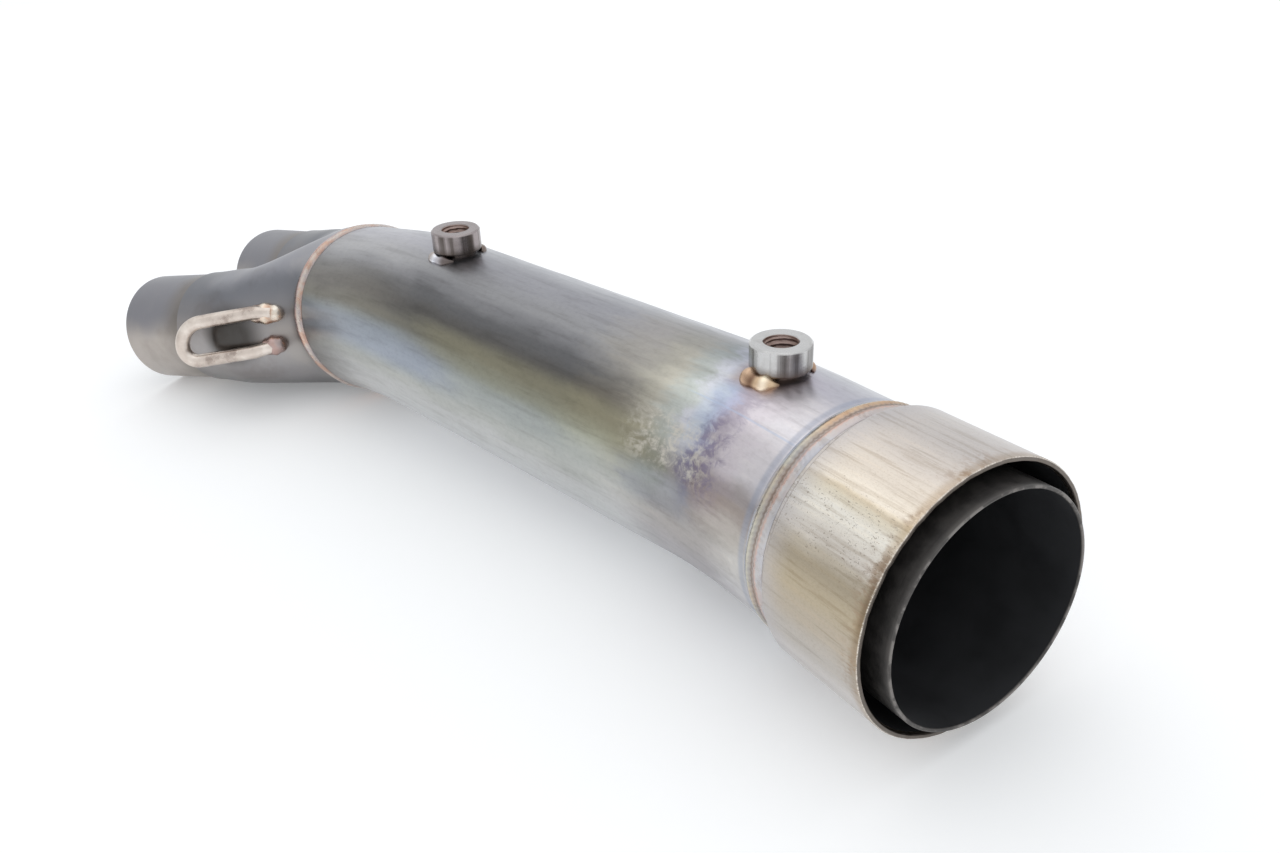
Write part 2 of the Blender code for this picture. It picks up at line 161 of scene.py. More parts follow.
# Boss beads: half turn, thickness at an end and in a swell, and (place, height, width) swells
ARC_SWEEP = 46.0
ARC_END = 0.22
ARC_SWELL = 0.86
ARC_DABS = ((-0.48, 0.9, 0.4), (0.4, 1.0, 0.44))
FRONT_BEAD_R = 0.0026
REAR_BEAD_R = 0.0019
FAR_BEAD_R = 0.0016
NEAR_BEAD_SHIFT = 3.0

# Bosses
BOSS_R = 0.00685
BOSS_TOP = 0.0069
BOSS_BASE = 0.0009
BOSS_EDGE = 0.00045
BOSS_PILOT_R = 0.0052
BOSS_BORE_R = 0.0034
BOSS_MOUTH_R = 0.004
THREAD_PITCH = 0.00125
THREAD_DEPTH = 0.0005
THREAD_FADE = 0.0012
BOSS_SUNK = 0.0016
EDGE_LOOP = 0.0001
FRONT_BOSS_DISTANCE = 0.0582
FRONT_BOSS_LEAN = 4.5
REAR_BOSS_DISTANCE = 0.11265
REAR_BOSS_LEAN = 3.35

# Hooks
ROD_R = 0.00225
HOOK_RISE = 0.0059
HOOK_UPPER_ROUND = 0.0085
HOOK_LOWER_ROUND = 0.0045
HOOK_BEND_ROUND = 0.006
HOOK_UPPER_FOOT = (0.019, 24.5)
HOOK_UPPER_BEND = (0.0245, 28.0)
HOOK_UPPER_CORNER = (0.0438, 23.0)
HOOK_LOWER_CORNER = (0.046, -1.0)
HOOK_LOWER_BEND = (0.0265, -5.2)
HOOK_LOWER_FOOT = (0.021, -4.5)
# Middle of the painted shade that the near hook's raised loop leaves on the collector
HOOK_HEART = (0.033, 11.0)
LEG_SUNK = 0.4 * ROD_R
ROD_TIP = 0.86

# Beads at the hooks' feet: lift over the shell, and half length, width and height
DAB_LIFT = 0.0006
UPPER_DAB = (0.0062, 0.0036, 0.0032)
UPPER_DAB_SHIFT = (0.0022, 0.8)
LOWER_DAB = (0.0046, 0.0034, 0.003)

BRANCH_R = STUB_R + GAP + SHELL_WALL
PAIR_PITCH = (2.0 * BRANCH_R + BRANCH_CLEARANCE
              - 2.0 * BRANCH_END * math.sin(math.radians(PAIR_SPREAD)))
MM = 1000.0


def heading(turn, climb):
    """Unit direction that turns about Z and climbs above the floor, in degrees."""
    turn, climb = math.radians(turn), math.radians(climb)
    return np.array((math.cos(climb) * math.cos(turn),
                     math.cos(climb) * math.sin(turn), math.sin(climb)))


def unit(vector):
    """Vector or rows of vectors at unit length."""
    vector = np.asarray(vector, float)
    return vector / np.linalg.norm(vector, axis=-1, keepdims=True)


def ease(share):
    """Smooth step from 0 to 1."""
    share = np.clip(share, 0.0, 1.0)
    return share * share * (3.0 - 2.0 * share)


def bell(value, middle, width):
    """Smooth hump of height 1."""
    return np.exp(-((value - middle) / width) ** 2)


OUTLET = heading(OUTLET_HEADING, OUTLET_CLIMB)
MIDDLE = heading(MIDDLE_HEADING, MIDDLE_CLIMB)
INNER = heading(INNER_HEADING, INNER_CLIMB)
PAIR = heading(PAIR_HEADING, PAIR_CLIMB)
RIM = np.array(RIM_CENTRE)
FRONT_CORNER = RIM + OUTLET_LENGTH * OUTLET
REAR_CORNER = FRONT_CORNER + MIDDLE_LENGTH * MIDDLE
MERGE = REAR_CORNER + INNER_LENGTH * INNER
FAR_SIDE = np.array((math.sin(math.radians(PAIR_HEADING)),
                     -math.cos(math.radians(PAIR_HEADING)), 0.0))


def bend(corner, before, after, radius=BEND_RADIUS, steps=24):
    """Points and directions of the round bend at a corner of a centre line."""
    turn = math.acos(float(before @ after))
    axis = unit(np.cross(before, after))
    inward = np.cross(axis, before)
    pivot = corner - radius * math.tan(turn / 2.0) * before + radius * inward
    rows = []
    for step in range(steps + 1):
        swing = np.array(Matrix.Rotation(turn * step / steps, 3, Vector(axis)))
        rows.append((pivot - radius * swing @ inward, swing @ before))
    return rows


def at_run(run, runs, points):
    """Point at a run, between the points of a line."""
    return np.array([np.interp(run, runs, points[:, axis]) for axis in range(3)])


class Line:
    """Centre line from the rim to the collector's weld, by its run in metres."""

    def __init__(self):
        rows = [(RIM - 0.01 * OUTLET, OUTLET)]
        rows += bend(FRONT_CORNER, OUTLET, MIDDLE) + bend(REAR_CORNER, MIDDLE, INNER)
        rows += [(MERGE + 0.01 * INNER, INNER)]
        self.points = np.array([row[0] for row in rows])
        self.directions = np.array([row[1] for row in rows])
        steps = np.linalg.norm(np.diff(self.points, axis=0), axis=1)
        self.runs = np.concatenate(([0.0], np.cumsum(steps))) - 0.01
        self.length = self.runs[-1] - 0.01

    def at(self, run):
        """Centre and direction at a run from the rim."""
        way = at_run(run, self.runs, self.directions)
        return at_run(run, self.runs, self.points), unit(way)


def frame_of(direction):
    """Near-side and up vectors square to a direction."""
    up = unit(np.array((0.0, 0.0, 1.0)) - direction[2] * direction)
    return np.cross(up, direction), up


def turns(count, start=-90.0):
    """Angles of a ring's points; angle 0 is the near side and 90 the top."""
    return np.radians(start + 360.0 * np.arange(count) / count)


def spin(first, second, radii, angles):
    """Offsets from a circle's centre, in the plane of two vectors."""
    radii = np.broadcast_to(radii, angles.shape)[:, None]
    return radii * (np.cos(angles)[:, None] * first + np.sin(angles)[:, None] * second)


def ring(centre, direction, radii, angles):
    """Points round a direction."""
    return centre + spin(*frame_of(direction), radii, angles)


def strip(low, high):
    """Quads between two rings of point numbers."""
    return np.stack((low, np.roll(low, -1), np.roll(high, -1), high), 1).tolist()


def waves(angles, *terms):
    """Sum of sine waves round a ring, each given as (height, lobes, shift)."""
    return sum(height * np.sin(lobes * angles + shift) for height, lobes, shift in terms)


def swells(share, crowns):
    """Sum of humps across or along a bead, each given as (place, height, width)."""
    return sum(height * bell(share, place, width) for place, height, width in crowns)


class Rows:
    """Rings of points that become one piece, with what its materials read."""

    def __init__(self, sides, start=-90.0):
        self.angles = turns(sides, start)
        self.rings, self.flats, self.marks = [], [], []

    def put(self, points, run, radii, mark=None):
        """Keep a ring, its straightened place (run, near, up) and its mark across a bead."""
        shape = self.angles.shape
        self.rings.append(points)
        self.flats.append(MM * np.stack((np.broadcast_to(run, shape), radii * np.cos(self.angles),
                                         radii * np.sin(self.angles)), 1))
        if mark is not None:
            self.marks.append(np.broadcast_to(mark, shape))

    def add(self, centre, direction, run, radii, mark=None):
        """Make and keep a ring round a direction."""
        self.put(ring(centre, direction, radii, self.angles), run, radii, mark)

    def lathe(self, start, direction, profile, base=0.0):
        """Rings of a turned profile, whose runs are told from a base."""
        for run, radius in profile:
            self.add(start + run * direction, direction, run - base, radius)

    def mesh(self, name, finishes=(), loop=True, inside=None, sharp=40.0):
        """Object of all the rings; a looped one closes on its first, else its ends are capped.

        inside(row) tells which rows take the second finish.
        """
        count, sides = len(self.rings), len(self.angles)
        index = np.arange(count * sides).reshape(count, sides)
        faces, seconds = [], []
        for row in range(count if loop else count - 1):
            low, high = index[row], index[(row + 1) % count]
            faces += strip(low, high)
            seconds += [1 if inside and inside(row) else 0] * sides
        if not loop:
            faces += [index[0].tolist()[::-1], index[-1].tolist()]
            seconds += [0, 0]
        mesh = bpy.data.meshes.new(name)
        mesh.from_pydata(np.array(self.rings).reshape(-1, 3).tolist(), [], faces)
        note = mesh.attributes.new("flat", "FLOAT_VECTOR", "POINT")
        note.data.foreach_set("vector", np.array(self.flats, np.float32).ravel())
        if self.marks:
            note = mesh.attributes.new("across", "FLOAT", "POINT")
            note.data.foreach_set("value", np.array(self.marks, np.float32).ravel())
        mesh.polygons.foreach_set("material_index", seconds)
        for finish in finishes:
            mesh.materials.append(finish)
        shell = bmesh.new()
        shell.from_mesh(mesh)
        bmesh.ops.recalc_face_normals(shell, faces=shell.faces)
        shell.to_mesh(mesh)
        shell.free()
        mesh.shade_smooth()
        mesh.set_sharp_from_angle(angle=math.radians(sharp))
        made = bpy.data.objects.new(name, mesh)
        bpy.context.scene.collection.objects.link(made)
        return made

    def piece(self, slot, node, *finishes, name=None, **settings):
        """Object of all the rings that stands for a CAD node."""
        keep(self.mesh(name or f"dressed_{node}", finishes, **settings), node)


def keep(made, node):
    """Piece rides on the part and stands for a CAD node, which is hidden."""
    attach(made, "root")
    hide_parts(node)


class Tree:
    """A node tree with short calls that add nodes to it."""

    def __init__(self, owner):
        owner.use_nodes = True
        self.tree = owner.node_tree

    def node(self, kind, inputs=(), **settings):
        """New node; inputs are links or plain values by the socket's key."""
        made = self.tree.nodes.new(kind)
        for key, value in settings.items():
            setattr(made, key, value)
        for key, value in dict(inputs).items():
            self.join(value, made.inputs[key])
        return made

    def join(self, value, socket):
        """Link an output, or set a plain number or colour."""
        if isinstance(value, bpy.types.NodeSocket):
            self.tree.links.new(value, socket)
        elif isinstance(value, (tuple, list)):
            socket.default_value = (*value, 1.0)[:len(socket.default_value)]
        else:
            socket.default_value = value

    def maths(self, operation, *values):
        made = self.node("ShaderNodeMath", enumerate(values), operation=operation)
        return made.outputs[0]

    def span(self, value, low, high, out_low=0.0, out_high=1.0, kind="SMOOTHSTEP"):
        """Smooth step of a value between two limits."""
        limits = {"Value": value, "From Min": low, "From Max": high, "To Min": out_low,
                  "To Max": out_high}
        return self.node("ShaderNodeMapRange", limits, interpolation_type=kind).outputs[0]


class Finish(Tree):
    """A material with its colour, and masks and patterns over the surface."""

    def __init__(self, name):
        self.material = bpy.data.materials.new(name)
        super().__init__(self.material)
        self.colour = None
        self.shader = self.tree.nodes["Principled BSDF"]
        self.flat = self.node("ShaderNodeAttribute", attribute_name="flat").outputs["Vector"]
        self.place = self.node("ShaderNodeTexCoord").outputs["Object"]
        parts = self.node("ShaderNodeSeparateXYZ", {0: self.flat})
        self.run, self.near_side, self.up_side = parts.outputs
        turn = self.maths("ARCTAN2", self.up_side, self.near_side)
        self.angle = self.maths("DEGREES", turn)

    def share(self, value, low, high):
        """Straight share of a value between two limits, 0 to 1."""
        return self.span(value, low, high, kind="LINEAR")

    def near(self, value, middle, core, soft):
        """1 within core of a value, falling to 0 over the soft width."""
        off = self.maths("ABSOLUTE", self.maths("SUBTRACT", value, middle))
        return self.span(off, core, core + soft, 1.0, 0.0)

    def around(self, middle, core, soft, angle=None):
        """The same round the tube's angle, or a warped copy of it, without a seam."""
        angle = self.angle if angle is None else angle
        off = self.maths("WRAP", self.maths("SUBTRACT", angle, middle), 180.0, -180.0)
        return self.span(self.maths("ABSOLUTE", off), core, core + soft, 1.0, 0.0)

    def both(self, *masks):
        """Product of masks."""
        result = masks[0]
        for mask in masks[1:]:
            result = self.maths("MULTIPLY", result, mask)
        return result

    def spot(self, angles, run, runs):
        """Patch round an angle and a run, each given as (middle, core, soft)."""
        return self.both(self.around(*angles), self.near(run, *runs))

    def warped(self, value, *pushes):
        """Value pushed to and fro by noises, each given with its full reach."""
        for push, reach in pushes:
            off = self.maths("MULTIPLY", self.maths("SUBTRACT", push, 0.5), reach)
            value = self.maths("ADD", value, off)
        return value

    def noise(self, vector, stretch, scale, detail=4.0, rough=0.55, twist=0.0):
        """Noise in stretched coordinates, 0 to 1 around a half."""
        mapping = self.node("ShaderNodeMapping", {"Vector": vector, "Scale": stretch})
        made = self.node("ShaderNodeTexNoise", {
            "Vector": mapping.outputs[0], "Scale": scale, "Detail": detail, "Roughness": rough,
            "Distortion": twist})
        return made.outputs[0]

    def drawn(self, stretch, scale, *rest):
        """Noise over the surface, stretched along the run."""
        return self.noise(self.flat, (stretch, 1.0, 1.0), scale, *rest)

    def cloud(self, scale, *rest):
        """Noise in the part's frame, even in all directions."""
        return self.noise(self.place, (1.0, 1.0, 1.0), scale, *rest)

    def ramp(self, value, *stops):
        """Colour ramp with stops of (place, red, green, blue)."""
        made = self.node("ShaderNodeValToRGB", {0: value})
        band = made.color_ramp
        band.interpolation = "EASE"
        while len(band.elements) < len(stops):
            band.elements.new(0.5)
        for element, (place, *colour) in zip(band.elements, stops):
            element.position = place
            element.color = (*colour, 1.0)
        return made.outputs[0]

    def mix(self, share, first, second, blend="MIX"):
        """Colour mix."""
        return self.node("ShaderNodeMix", {0: share, 6: first, 7: second}, data_type="RGBA",
                         blend_type=blend).outputs[2]

    def tint(self, mask, strength, shade):
        """Draw the colour towards a shade under a mask."""
        self.colour = self.mix(self.maths("MULTIPLY", mask, strength), self.colour, shade)

    def times(self, mask, factor):
        """Multiply the colour by a factor under a mask."""
        scaled = self.mix(1.0, self.colour, factor, "MULTIPLY")
        self.colour = self.mix(mask, self.colour, scaled)

    def grade(self, share, value, *stops):
        """Multiply the colour by a share of a ramp."""
        self.colour = self.mix(share, self.colour, self.ramp(value, *stops), "MULTIPLY")

    def finish(self, rough, metallic, *bumps):
        """Connect the shader; rough is (noise, low, high), a bump (height, strength, distance)."""
        noise, low, high = rough
        links = {"Base Color": self.colour, "Roughness": self.span(noise, 0.3, 0.7, low, high),
                 "Metallic": metallic}
        for height, strength, distance in bumps:
            bump = {"Strength": strength, "Distance": distance, "Height": height}
            if "Normal" in links:
                bump["Normal"] = links["Normal"]
            links["Normal"] = self.node("ShaderNodeBump", bump).outputs[0]
        for key, value in links.items():
            self.join(value, self.shader.inputs[key])
        return self.material


def tube_finish():
    """Drawn tube with tempering bands by its front weld, and a dark upper band that is partly
    patina and partly painted reflection.
    """
    f = Finish("heat_tinted_tube")
    cloud = f.noise(f.flat, (1.0, 1.6, 1.6), 0.035, 3.0)
    streak = f.drawn(0.1, 0.55, 5.0, 0.6)
    fine = f.drawn(0.06, 3.2, 4.0, 0.6)
    smear = f.drawn(0.34, 0.22, 5.0, 0.62, 0.6)
    specks = f.drawn(0.7, 0.9, 4.0, 0.65)
    patch = f.drawn(0.75, 0.3, 5.0, 0.66, 0.8)
    run = f.warped(f.run, (cloud, 10.0), (smear, 20.0))
    angle = f.warped(f.angle, (cloud, 12.0), (smear, 8.0))
    turn = f.share(angle, -60.0, 140.0)
    # Colour round the tube by angle: partly patina, partly painted reflection, paler low down where
    # the floor would reflect and dark in a band on the upper near side.
    middle = f.ramp(
        turn, (0.0, 0.6, 0.61, 0.63), (0.17, 0.6, 0.61, 0.61), (0.25, 0.54, 0.545, 0.54),
        (0.3, 0.45, 0.46, 0.44), (0.36, 0.35, 0.37, 0.36), (0.42, 0.31, 0.33, 0.3),
        (0.47, 0.2, 0.195, 0.165), (0.52, 0.125, 0.12, 0.115), (0.57, 0.145, 0.145, 0.15),
        (0.61, 0.225, 0.225, 0.235), (0.66, 0.31, 0.31, 0.32), (0.76, 0.34, 0.34, 0.37),
        (0.86, 0.45, 0.46, 0.49), (1.0, 0.6, 0.61, 0.63))
    # The same by the front weld: heat tint with painted reflection, with a bright band on the upper
    # near side.
    front = f.ramp(
        turn, (0.0, 0.6, 0.61, 0.63), (0.2, 0.62, 0.61, 0.62), (0.3, 0.6, 0.58, 0.555),
        (0.36, 0.5, 0.47, 0.43), (0.42, 0.35, 0.31, 0.28), (0.445, 0.38, 0.35, 0.34),
        (0.49, 0.66, 0.64, 0.65), (0.56, 0.66, 0.64, 0.65), (0.62, 0.84, 0.82, 0.83),
        (0.68, 0.7, 0.68, 0.69), (0.78, 0.5, 0.5, 0.55), (1.0, 0.6, 0.61, 0.63))
    f.colour = f.mix(f.span(run, 62.0, 96.0), front, middle)
    bands = f.ramp(
        f.share(run, 30.0, 110.0), (0.0, 0.96, 0.96, 1.0), (0.1, 1.0, 0.98, 1.0),
        (0.22, 0.96, 0.91, 0.95), (0.31, 0.64, 0.59, 0.67), (0.38, 0.66, 0.69, 0.86),
        (0.45, 0.96, 1.0, 1.06), (0.53, 0.88, 0.95, 0.88), (0.63, 1.1, 1.07, 0.9),
        (0.8, 1.38, 1.32, 1.18), (1.0, 1.0, 1.0, 1.0))
    back = f.around(-164.0, 44.0, 30.0, angle)
    patina = f.mix(f.share(run, 60.0, 120.0), (0.52, 0.5, 0.49), (0.33, 0.335, 0.335))
    f.colour = f.mix(back, f.colour, patina)
    upper = f.both(f.span(angle, 2.0, 26.0), f.span(angle, 116.0, 92.0))
    f.times(f.maths("MAXIMUM", back, upper), bands)
    below = f.span(f.angle, -110.0, -60.0)
    under = f.both(f.near(run, 62.0, 9.0, 16.0), f.span(f.angle, 24.0, 4.0), below)
    f.times(under, (0.72, 0.7, 0.71))
    paler = f.both(f.span(run, 168.0, 196.0), f.around(58.0, 34.0, 22.0))
    f.times(paler, (1.42, 1.41, 1.4))
    cool = f.spot((17.0, 5.0, 12.0), run, (192.0, 30.0, 26.0))
    f.tint(cool, 0.75, (0.31, 0.345, 0.42))
    olive = f.spot((32.0, 4.0, 10.0), run, (118.0, 30.0, 30.0))
    f.tint(olive, 0.55, (0.3, 0.28, 0.19))
    brown = f.spot((42.0, 6.0, 16.0), run, (210.0, 12.0, 30.0))
    f.tint(brown, 0.55, (0.22, 0.205, 0.18))
    tail = f.both(f.span(run, 196.0, 226.0), f.span(f.angle, 30.0, -20.0), below)
    f.tint(tail, 0.6, (0.3, 0.285, 0.27))
    slate = f.spot((13.0, 5.0, 10.0), run, (69.0, 7.0, 10.0))
    f.times(slate, (0.8, 0.85, 0.93))
    blue = f.both(f.span(cloud, 0.36, 0.52), f.spot((62.0, 14.0, 12.0), f.run, (63.0, 1.5, 4.0)))
    f.tint(blue, 0.45, (0.44, 0.54, 0.66))
    violet = f.both(f.span(patch, 0.42, 0.6), f.spot((40.0, 10.0, 18.0), run, (55.0, 3.0, 7.0)))
    f.tint(violet, 0.62, (0.22, 0.19, 0.29))
    flecks = f.both(f.span(patch, 0.58, 0.4), f.span(specks, 0.26, 0.62),
                    f.spot((36.0, 6.0, 12.0), f.run, (68.0, 8.0, 12.0)))
    f.tint(flecks, 0.8, (0.68, 0.64, 0.57))
    crown = f.spot((88.0, 16.0, 12.0), run, (84.0, 12.0, 12.0))
    f.times(crown, (0.8, 0.8, 0.81))
    gold = f.spot((85.0, 6.0, 8.0), f.run, (58.0, 5.0, 5.0))
    f.tint(gold, 0.55, (0.38, 0.26, 0.18))
    seam = f.both(f.near(f.angle, 62.0, 0.25, 0.5), f.near(f.run, 52.0, 14.0, 10.0))
    f.tint(seam, 0.4, (0.5, 0.6, 0.78))
    haze = f.near(f.run, 36.0, 0.3, 1.1)
    f.tint(haze, 0.45, (0.3, 0.34, 0.44))
    f.grade(0.45, streak, (0.3, 0.7, 0.69, 0.68), (0.52, 1.0, 1.0, 1.0), (0.74, 1.16, 1.14, 1.1))
    f.grade(0.35, specks, (0.3, 0.8, 0.79, 0.78), (0.55, 1.0, 1.0, 1.0), (0.74, 1.1, 1.09, 1.06))
    return f.finish((smear, 0.28, 0.4), 1.0, (fine, 0.1, 0.0001), (streak, 0.12, 0.0005))


def socket_finish():
    """Expanded end, champagne coloured with painted reflection bands round it, with streaks, pits
    and a worn brown rim.
    """
    f = Finish("streaked_socket")
    streak = f.drawn(0.05, 0.9, 6.0, 0.65)
    fine = f.drawn(0.1, 4.0, 4.0, 0.6)
    spots = f.drawn(0.45, 1.1, 5.0, 0.6)
    grain = f.drawn(0.6, 3.0, 4.0, 0.65)
    cloud = f.drawn(1.0, 0.1, 4.0)
    turn = f.share(f.warped(f.angle, (cloud, 5.0)), -60.0, 140.0)
    # Colour round the socket by angle: champagne steel with painted reflection, in dark bands and
    # bright yellowish and white bands.
    f.colour = f.ramp(
        turn, (0.0, 0.62, 0.6, 0.59), (0.2, 0.65, 0.625, 0.61), (0.27, 0.53, 0.495, 0.455),
        (0.34, 0.49, 0.43, 0.35), (0.39, 0.48, 0.41, 0.3), (0.435, 0.42, 0.36, 0.27),
        (0.46, 0.56, 0.5, 0.41), (0.485, 0.74, 0.69, 0.63), (0.54, 0.92, 0.88, 0.8),
        (0.566, 0.8, 0.73, 0.6), (0.576, 0.74, 0.64, 0.49), (0.59, 0.98, 0.89, 0.77),
        (0.63, 0.78, 0.7, 0.61), (0.7, 0.68, 0.62, 0.57), (0.78, 0.61, 0.57, 0.55),
        (1.0, 0.62, 0.6, 0.59))
    lilac = f.span(f.run, 19.0, 28.0)
    f.tint(lilac, 0.6, (0.54, 0.52, 0.54))
    tan = f.span(f.run, 2.8, 0.8)
    f.times(tan, (0.81, 0.75, 0.68))
    rust = f.both(f.span(f.run, 6.0, 0.6), f.span(spots, 0.44, 0.6), f.span(cloud, 0.38, 0.58))
    f.tint(rust, 0.7, (0.36, 0.25, 0.17))
    pits = f.both(f.span(grain, 0.56, 0.62), f.span(spots, 0.42, 0.56), f.around(42.0, 9.0, 12.0))
    f.tint(pits, 0.65, (0.24, 0.2, 0.155))
    burnt = f.both(f.span(f.run, 1.6, 0.5), f.around(28.0, 8.0, 16.0))
    f.times(burnt, (0.74, 0.71, 0.69))
    reach = f.maths("SQRT", f.maths("ADD", f.both(f.near_side, f.near_side),
                                    f.both(f.up_side, f.up_side)))
    face = f.both(f.span(f.run, 0.8, 0.5), f.span(reach, 29.1, 28.9))
    f.colour = f.mix(face, f.colour, (0.17, 0.148, 0.13))
    edge = f.both(f.span(f.run, 0.34, 0.14), f.near(reach, 29.08, 0.06, 0.08),
                  f.span(grain, 0.42, 0.56, 0.25, 1.0))
    f.tint(edge, 0.85, (0.84, 0.79, 0.72))
    marks = f.both(f.span(grain, 0.62, 0.7), f.around(72.0, 34.0, 20.0))
    f.tint(marks, 0.5, (0.34, 0.24, 0.18))
    f.grade(0.52, streak, (0.34, 0.66, 0.61, 0.54), (0.49, 1.0, 1.0, 1.0), (0.68, 1.12, 1.1, 1.06))
    f.grade(0.4, grain, (0.3, 0.78, 0.74, 0.68), (0.52, 1.0, 1.0, 1.0), (0.72, 1.12, 1.1, 1.06))
    return f.finish((streak, 0.3, 0.44), 1.0, (fine, 0.16, 0.0001), (spots, 0.15, 0.0004))


def soot_finish():
    """Dry exhaust soot on an inner wall."""
    f = Finish("bore_soot")
    cloud = f.cloud(90.0, 5.0)
    f.colour = f.ramp(cloud, (0.3, 0.0114, 0.012, 0.0138), (0.7, 0.019, 0.02, 0.023))
    return f.finish((cloud, 0.62, 0.85), 0.0, (cloud, 0.25, 0.0004))


def sleeve_finish():
    """Dark scaled sleeve with painted shade, darker back towards the socket and paler at its worn
    lip.
    """
    f = Finish("scaled_sleeve")
    cloud = f.drawn(1.0, 0.35, 5.0)
    turned = f.noise(f.flat, (1.0, 0.06, 0.06), 5.0, 3.0)
    # Painted shade: darker where the sleeve sits back in the socket's gap, paler at the lip that
    # stands out.
    lip = f.span(f.run, -2.2, -3.3)
    f.colour = f.mix(lip, (0.06, 0.056, 0.054), (0.105, 0.099, 0.095))
    f.grade(0.4, cloud, (0.34, 0.5, 0.5, 0.5), (0.66, 1.3, 1.27, 1.22))
    worn = f.both(f.span(f.run, -3.3, -3.56), f.span(cloud, 0.46, 0.58))
    f.tint(worn, 0.7, (0.3, 0.28, 0.265))
    return f.finish((cloud, 0.4, 0.58), 0.75, (cloud, 0.25, 0.0003), (turned, 0.2, 0.0002))


def collector_finish(loop_shade_middle):
    """Browned and blued merge shell with painted reflection by height, and painted shade round a
    point inside the hook's loop.
    """
    f = Finish("browned_collector")
    cloud = f.cloud(42.0, 5.0, 0.6, 0.4)
    broad = f.cloud(16.0, 3.0)
    fine = f.noise(f.place, (0.3, 1.0, 1.0), 900.0, 3.0)
    parts = f.node("ShaderNodeSeparateXYZ", {0: f.place})
    # Colour by height: browning and bluing with painted reflection and shade, darker at the very
    # bottom by the floor, paler low down where the floor would reflect, and dark in a band higher
    # up.
    f.colour = f.ramp(
        f.share(f.warped(parts.outputs["Z"], (broad, 0.016), (cloud, 0.006)), 0.006, 0.06),
        (0.0, 0.22, 0.215, 0.22), (0.14, 0.34, 0.33, 0.335), (0.3, 0.38, 0.365, 0.365),
        (0.44, 0.33, 0.31, 0.305), (0.56, 0.25, 0.245, 0.255), (0.68, 0.2, 0.205, 0.225),
        (0.8, 0.36, 0.36, 0.39), (1.0, 0.44, 0.43, 0.44))
    # Painted shade under the hook's raised loop, darkest round the loop's middle.
    far = f.node("ShaderNodeVectorMath", {0: f.place, 1: tuple(loop_shade_middle)}, operation="DISTANCE")
    darkened = f.span(far.outputs["Value"], 0.005, 0.0135, 0.92, 0.0)
    f.colour = f.mix(darkened, f.colour, (0.07, 0.066, 0.062))
    f.grade(0.7, cloud, (0.3, 0.74, 0.7, 0.67), (0.52, 1.0, 1.0, 1.0), (0.7, 1.15, 1.12, 1.06))
    return f.finish((cloud, 0.3, 0.44), 1.0, (fine, 0.12, 0.0001))


def stub_finish():
    """Slip stubs: warm grey, lilac above and browner at the joint with the branch."""
    f = Finish("grey_stub")
    cloud = f.cloud(60.0, 5.0)
    broad = f.cloud(24.0, 3.0)
    rings = f.noise(f.flat, (1.0, 0.05, 0.05), 2.2, 4.0)
    top = f.around(95.0, 53.0, 34.0, f.warped(f.angle, (broad, 60.0)))
    f.colour = f.mix(top, (0.44, 0.4, 0.37), (0.27, 0.268, 0.29))
    back = f.span(f.warped(f.run, (broad, 8.0)), 70.0, 60.0)
    f.tint(back, 0.7, (0.24, 0.215, 0.19))
    f.grade(0.7, cloud, (0.3, 0.75, 0.73, 0.71), (0.52, 1.0, 1.0, 1.0), (0.7, 1.15, 1.13, 1.11))
    return f.finish((cloud, 0.3, 0.44), 1.0, (rings, 0.15, 0.0002), (cloud, 0.1, 0.0004))


def bead_finish(name, mottle, crest, *stops):
    """Rippled weld metal, mottled with old heat.

    Stops run over the bead's width, and a crest, if given, colours the top of a ring.
    """
    f = Finish(name)
    cloud = f.cloud(260.0, 4.0)
    across = f.node("ShaderNodeAttribute", attribute_name="across").outputs["Fac"]
    f.colour = f.ramp(across, *stops)
    if crest:
        warm = f.spot((98.0, 14.0, 26.0), across, (0.7, 0.06, 0.12))
        f.tint(warm, 0.65, crest)
    f.grade(0.6, cloud, (0.3, 0.72, 0.67, 0.63), (0.52, 1.0, 1.0, 1.0), (0.7, 1.15, 1.12, 1.05))
    f.grade(mottle, f.cloud(120.0, 3.0), (0.36, 0.62, 0.68, 0.86),
            (0.48, 1.0, 1.0, 1.0), (0.6, 1.0, 0.7, 0.56))
    return f.finish((cloud, 0.22, 0.4), 1.0, (cloud, 0.25, 0.0003))


def boss_finish(name, bright, dark_reflection, foot_heat_and_shade):
    """Turned steel with lathe lines, painted reflection streaks down its side and a foot darkened
    by heat tint and painted shade.
    """
    f = Finish(name)
    cloud = f.cloud(220.0, 4.0)
    lathe = f.noise(f.flat, (1.0, 0.03, 0.03), 14.0, 3.0)
    # Streaks of painted reflection down the side, where the steel mirrors dark surroundings.
    reflection_streaks = f.drawn(0.02, 0.42, 3.0, 0.5)
    side = f.span(f.run, 6.75, 6.25)
    f.colour = f.mix(f.both(side, f.span(reflection_streaks, 0.4, 0.64)), bright, dark_reflection)
    # Foot darkened partly by heat tint, partly by painted shade where the boss meets the tube.
    foot = f.span(f.run, 3.6, 0.9)
    f.tint(foot, 0.85, foot_heat_and_shade)
    f.grade(0.6, cloud, (0.3, 0.74, 0.72, 0.7), (0.55, 1.0, 1.0, 1.0))
    return f.finish((cloud, 0.18, 0.3), 1.0, (lathe, 0.22, 0.0001), (cloud, 0.08, 0.0002))


def thread_finish():
    """Threaded hole, brown with old heat, and darker deeper down from painted shade."""
    f = Finish("browned_thread")
    cloud = f.cloud(300.0, 4.0)
    # Painted shade: darker deep in the hole, paler by its mouth.
    f.colour = f.mix(f.span(f.run, 1.0, 6.0), (0.1, 0.075, 0.065), (0.4, 0.3, 0.27))
    f.grade(0.7, cloud, (0.3, 0.6, 0.55, 0.5), (0.6, 1.1, 1.1, 1.1))
    return f.finish((cloud, 0.3, 0.5), 0.9, (cloud, 0.2, 0.0002))


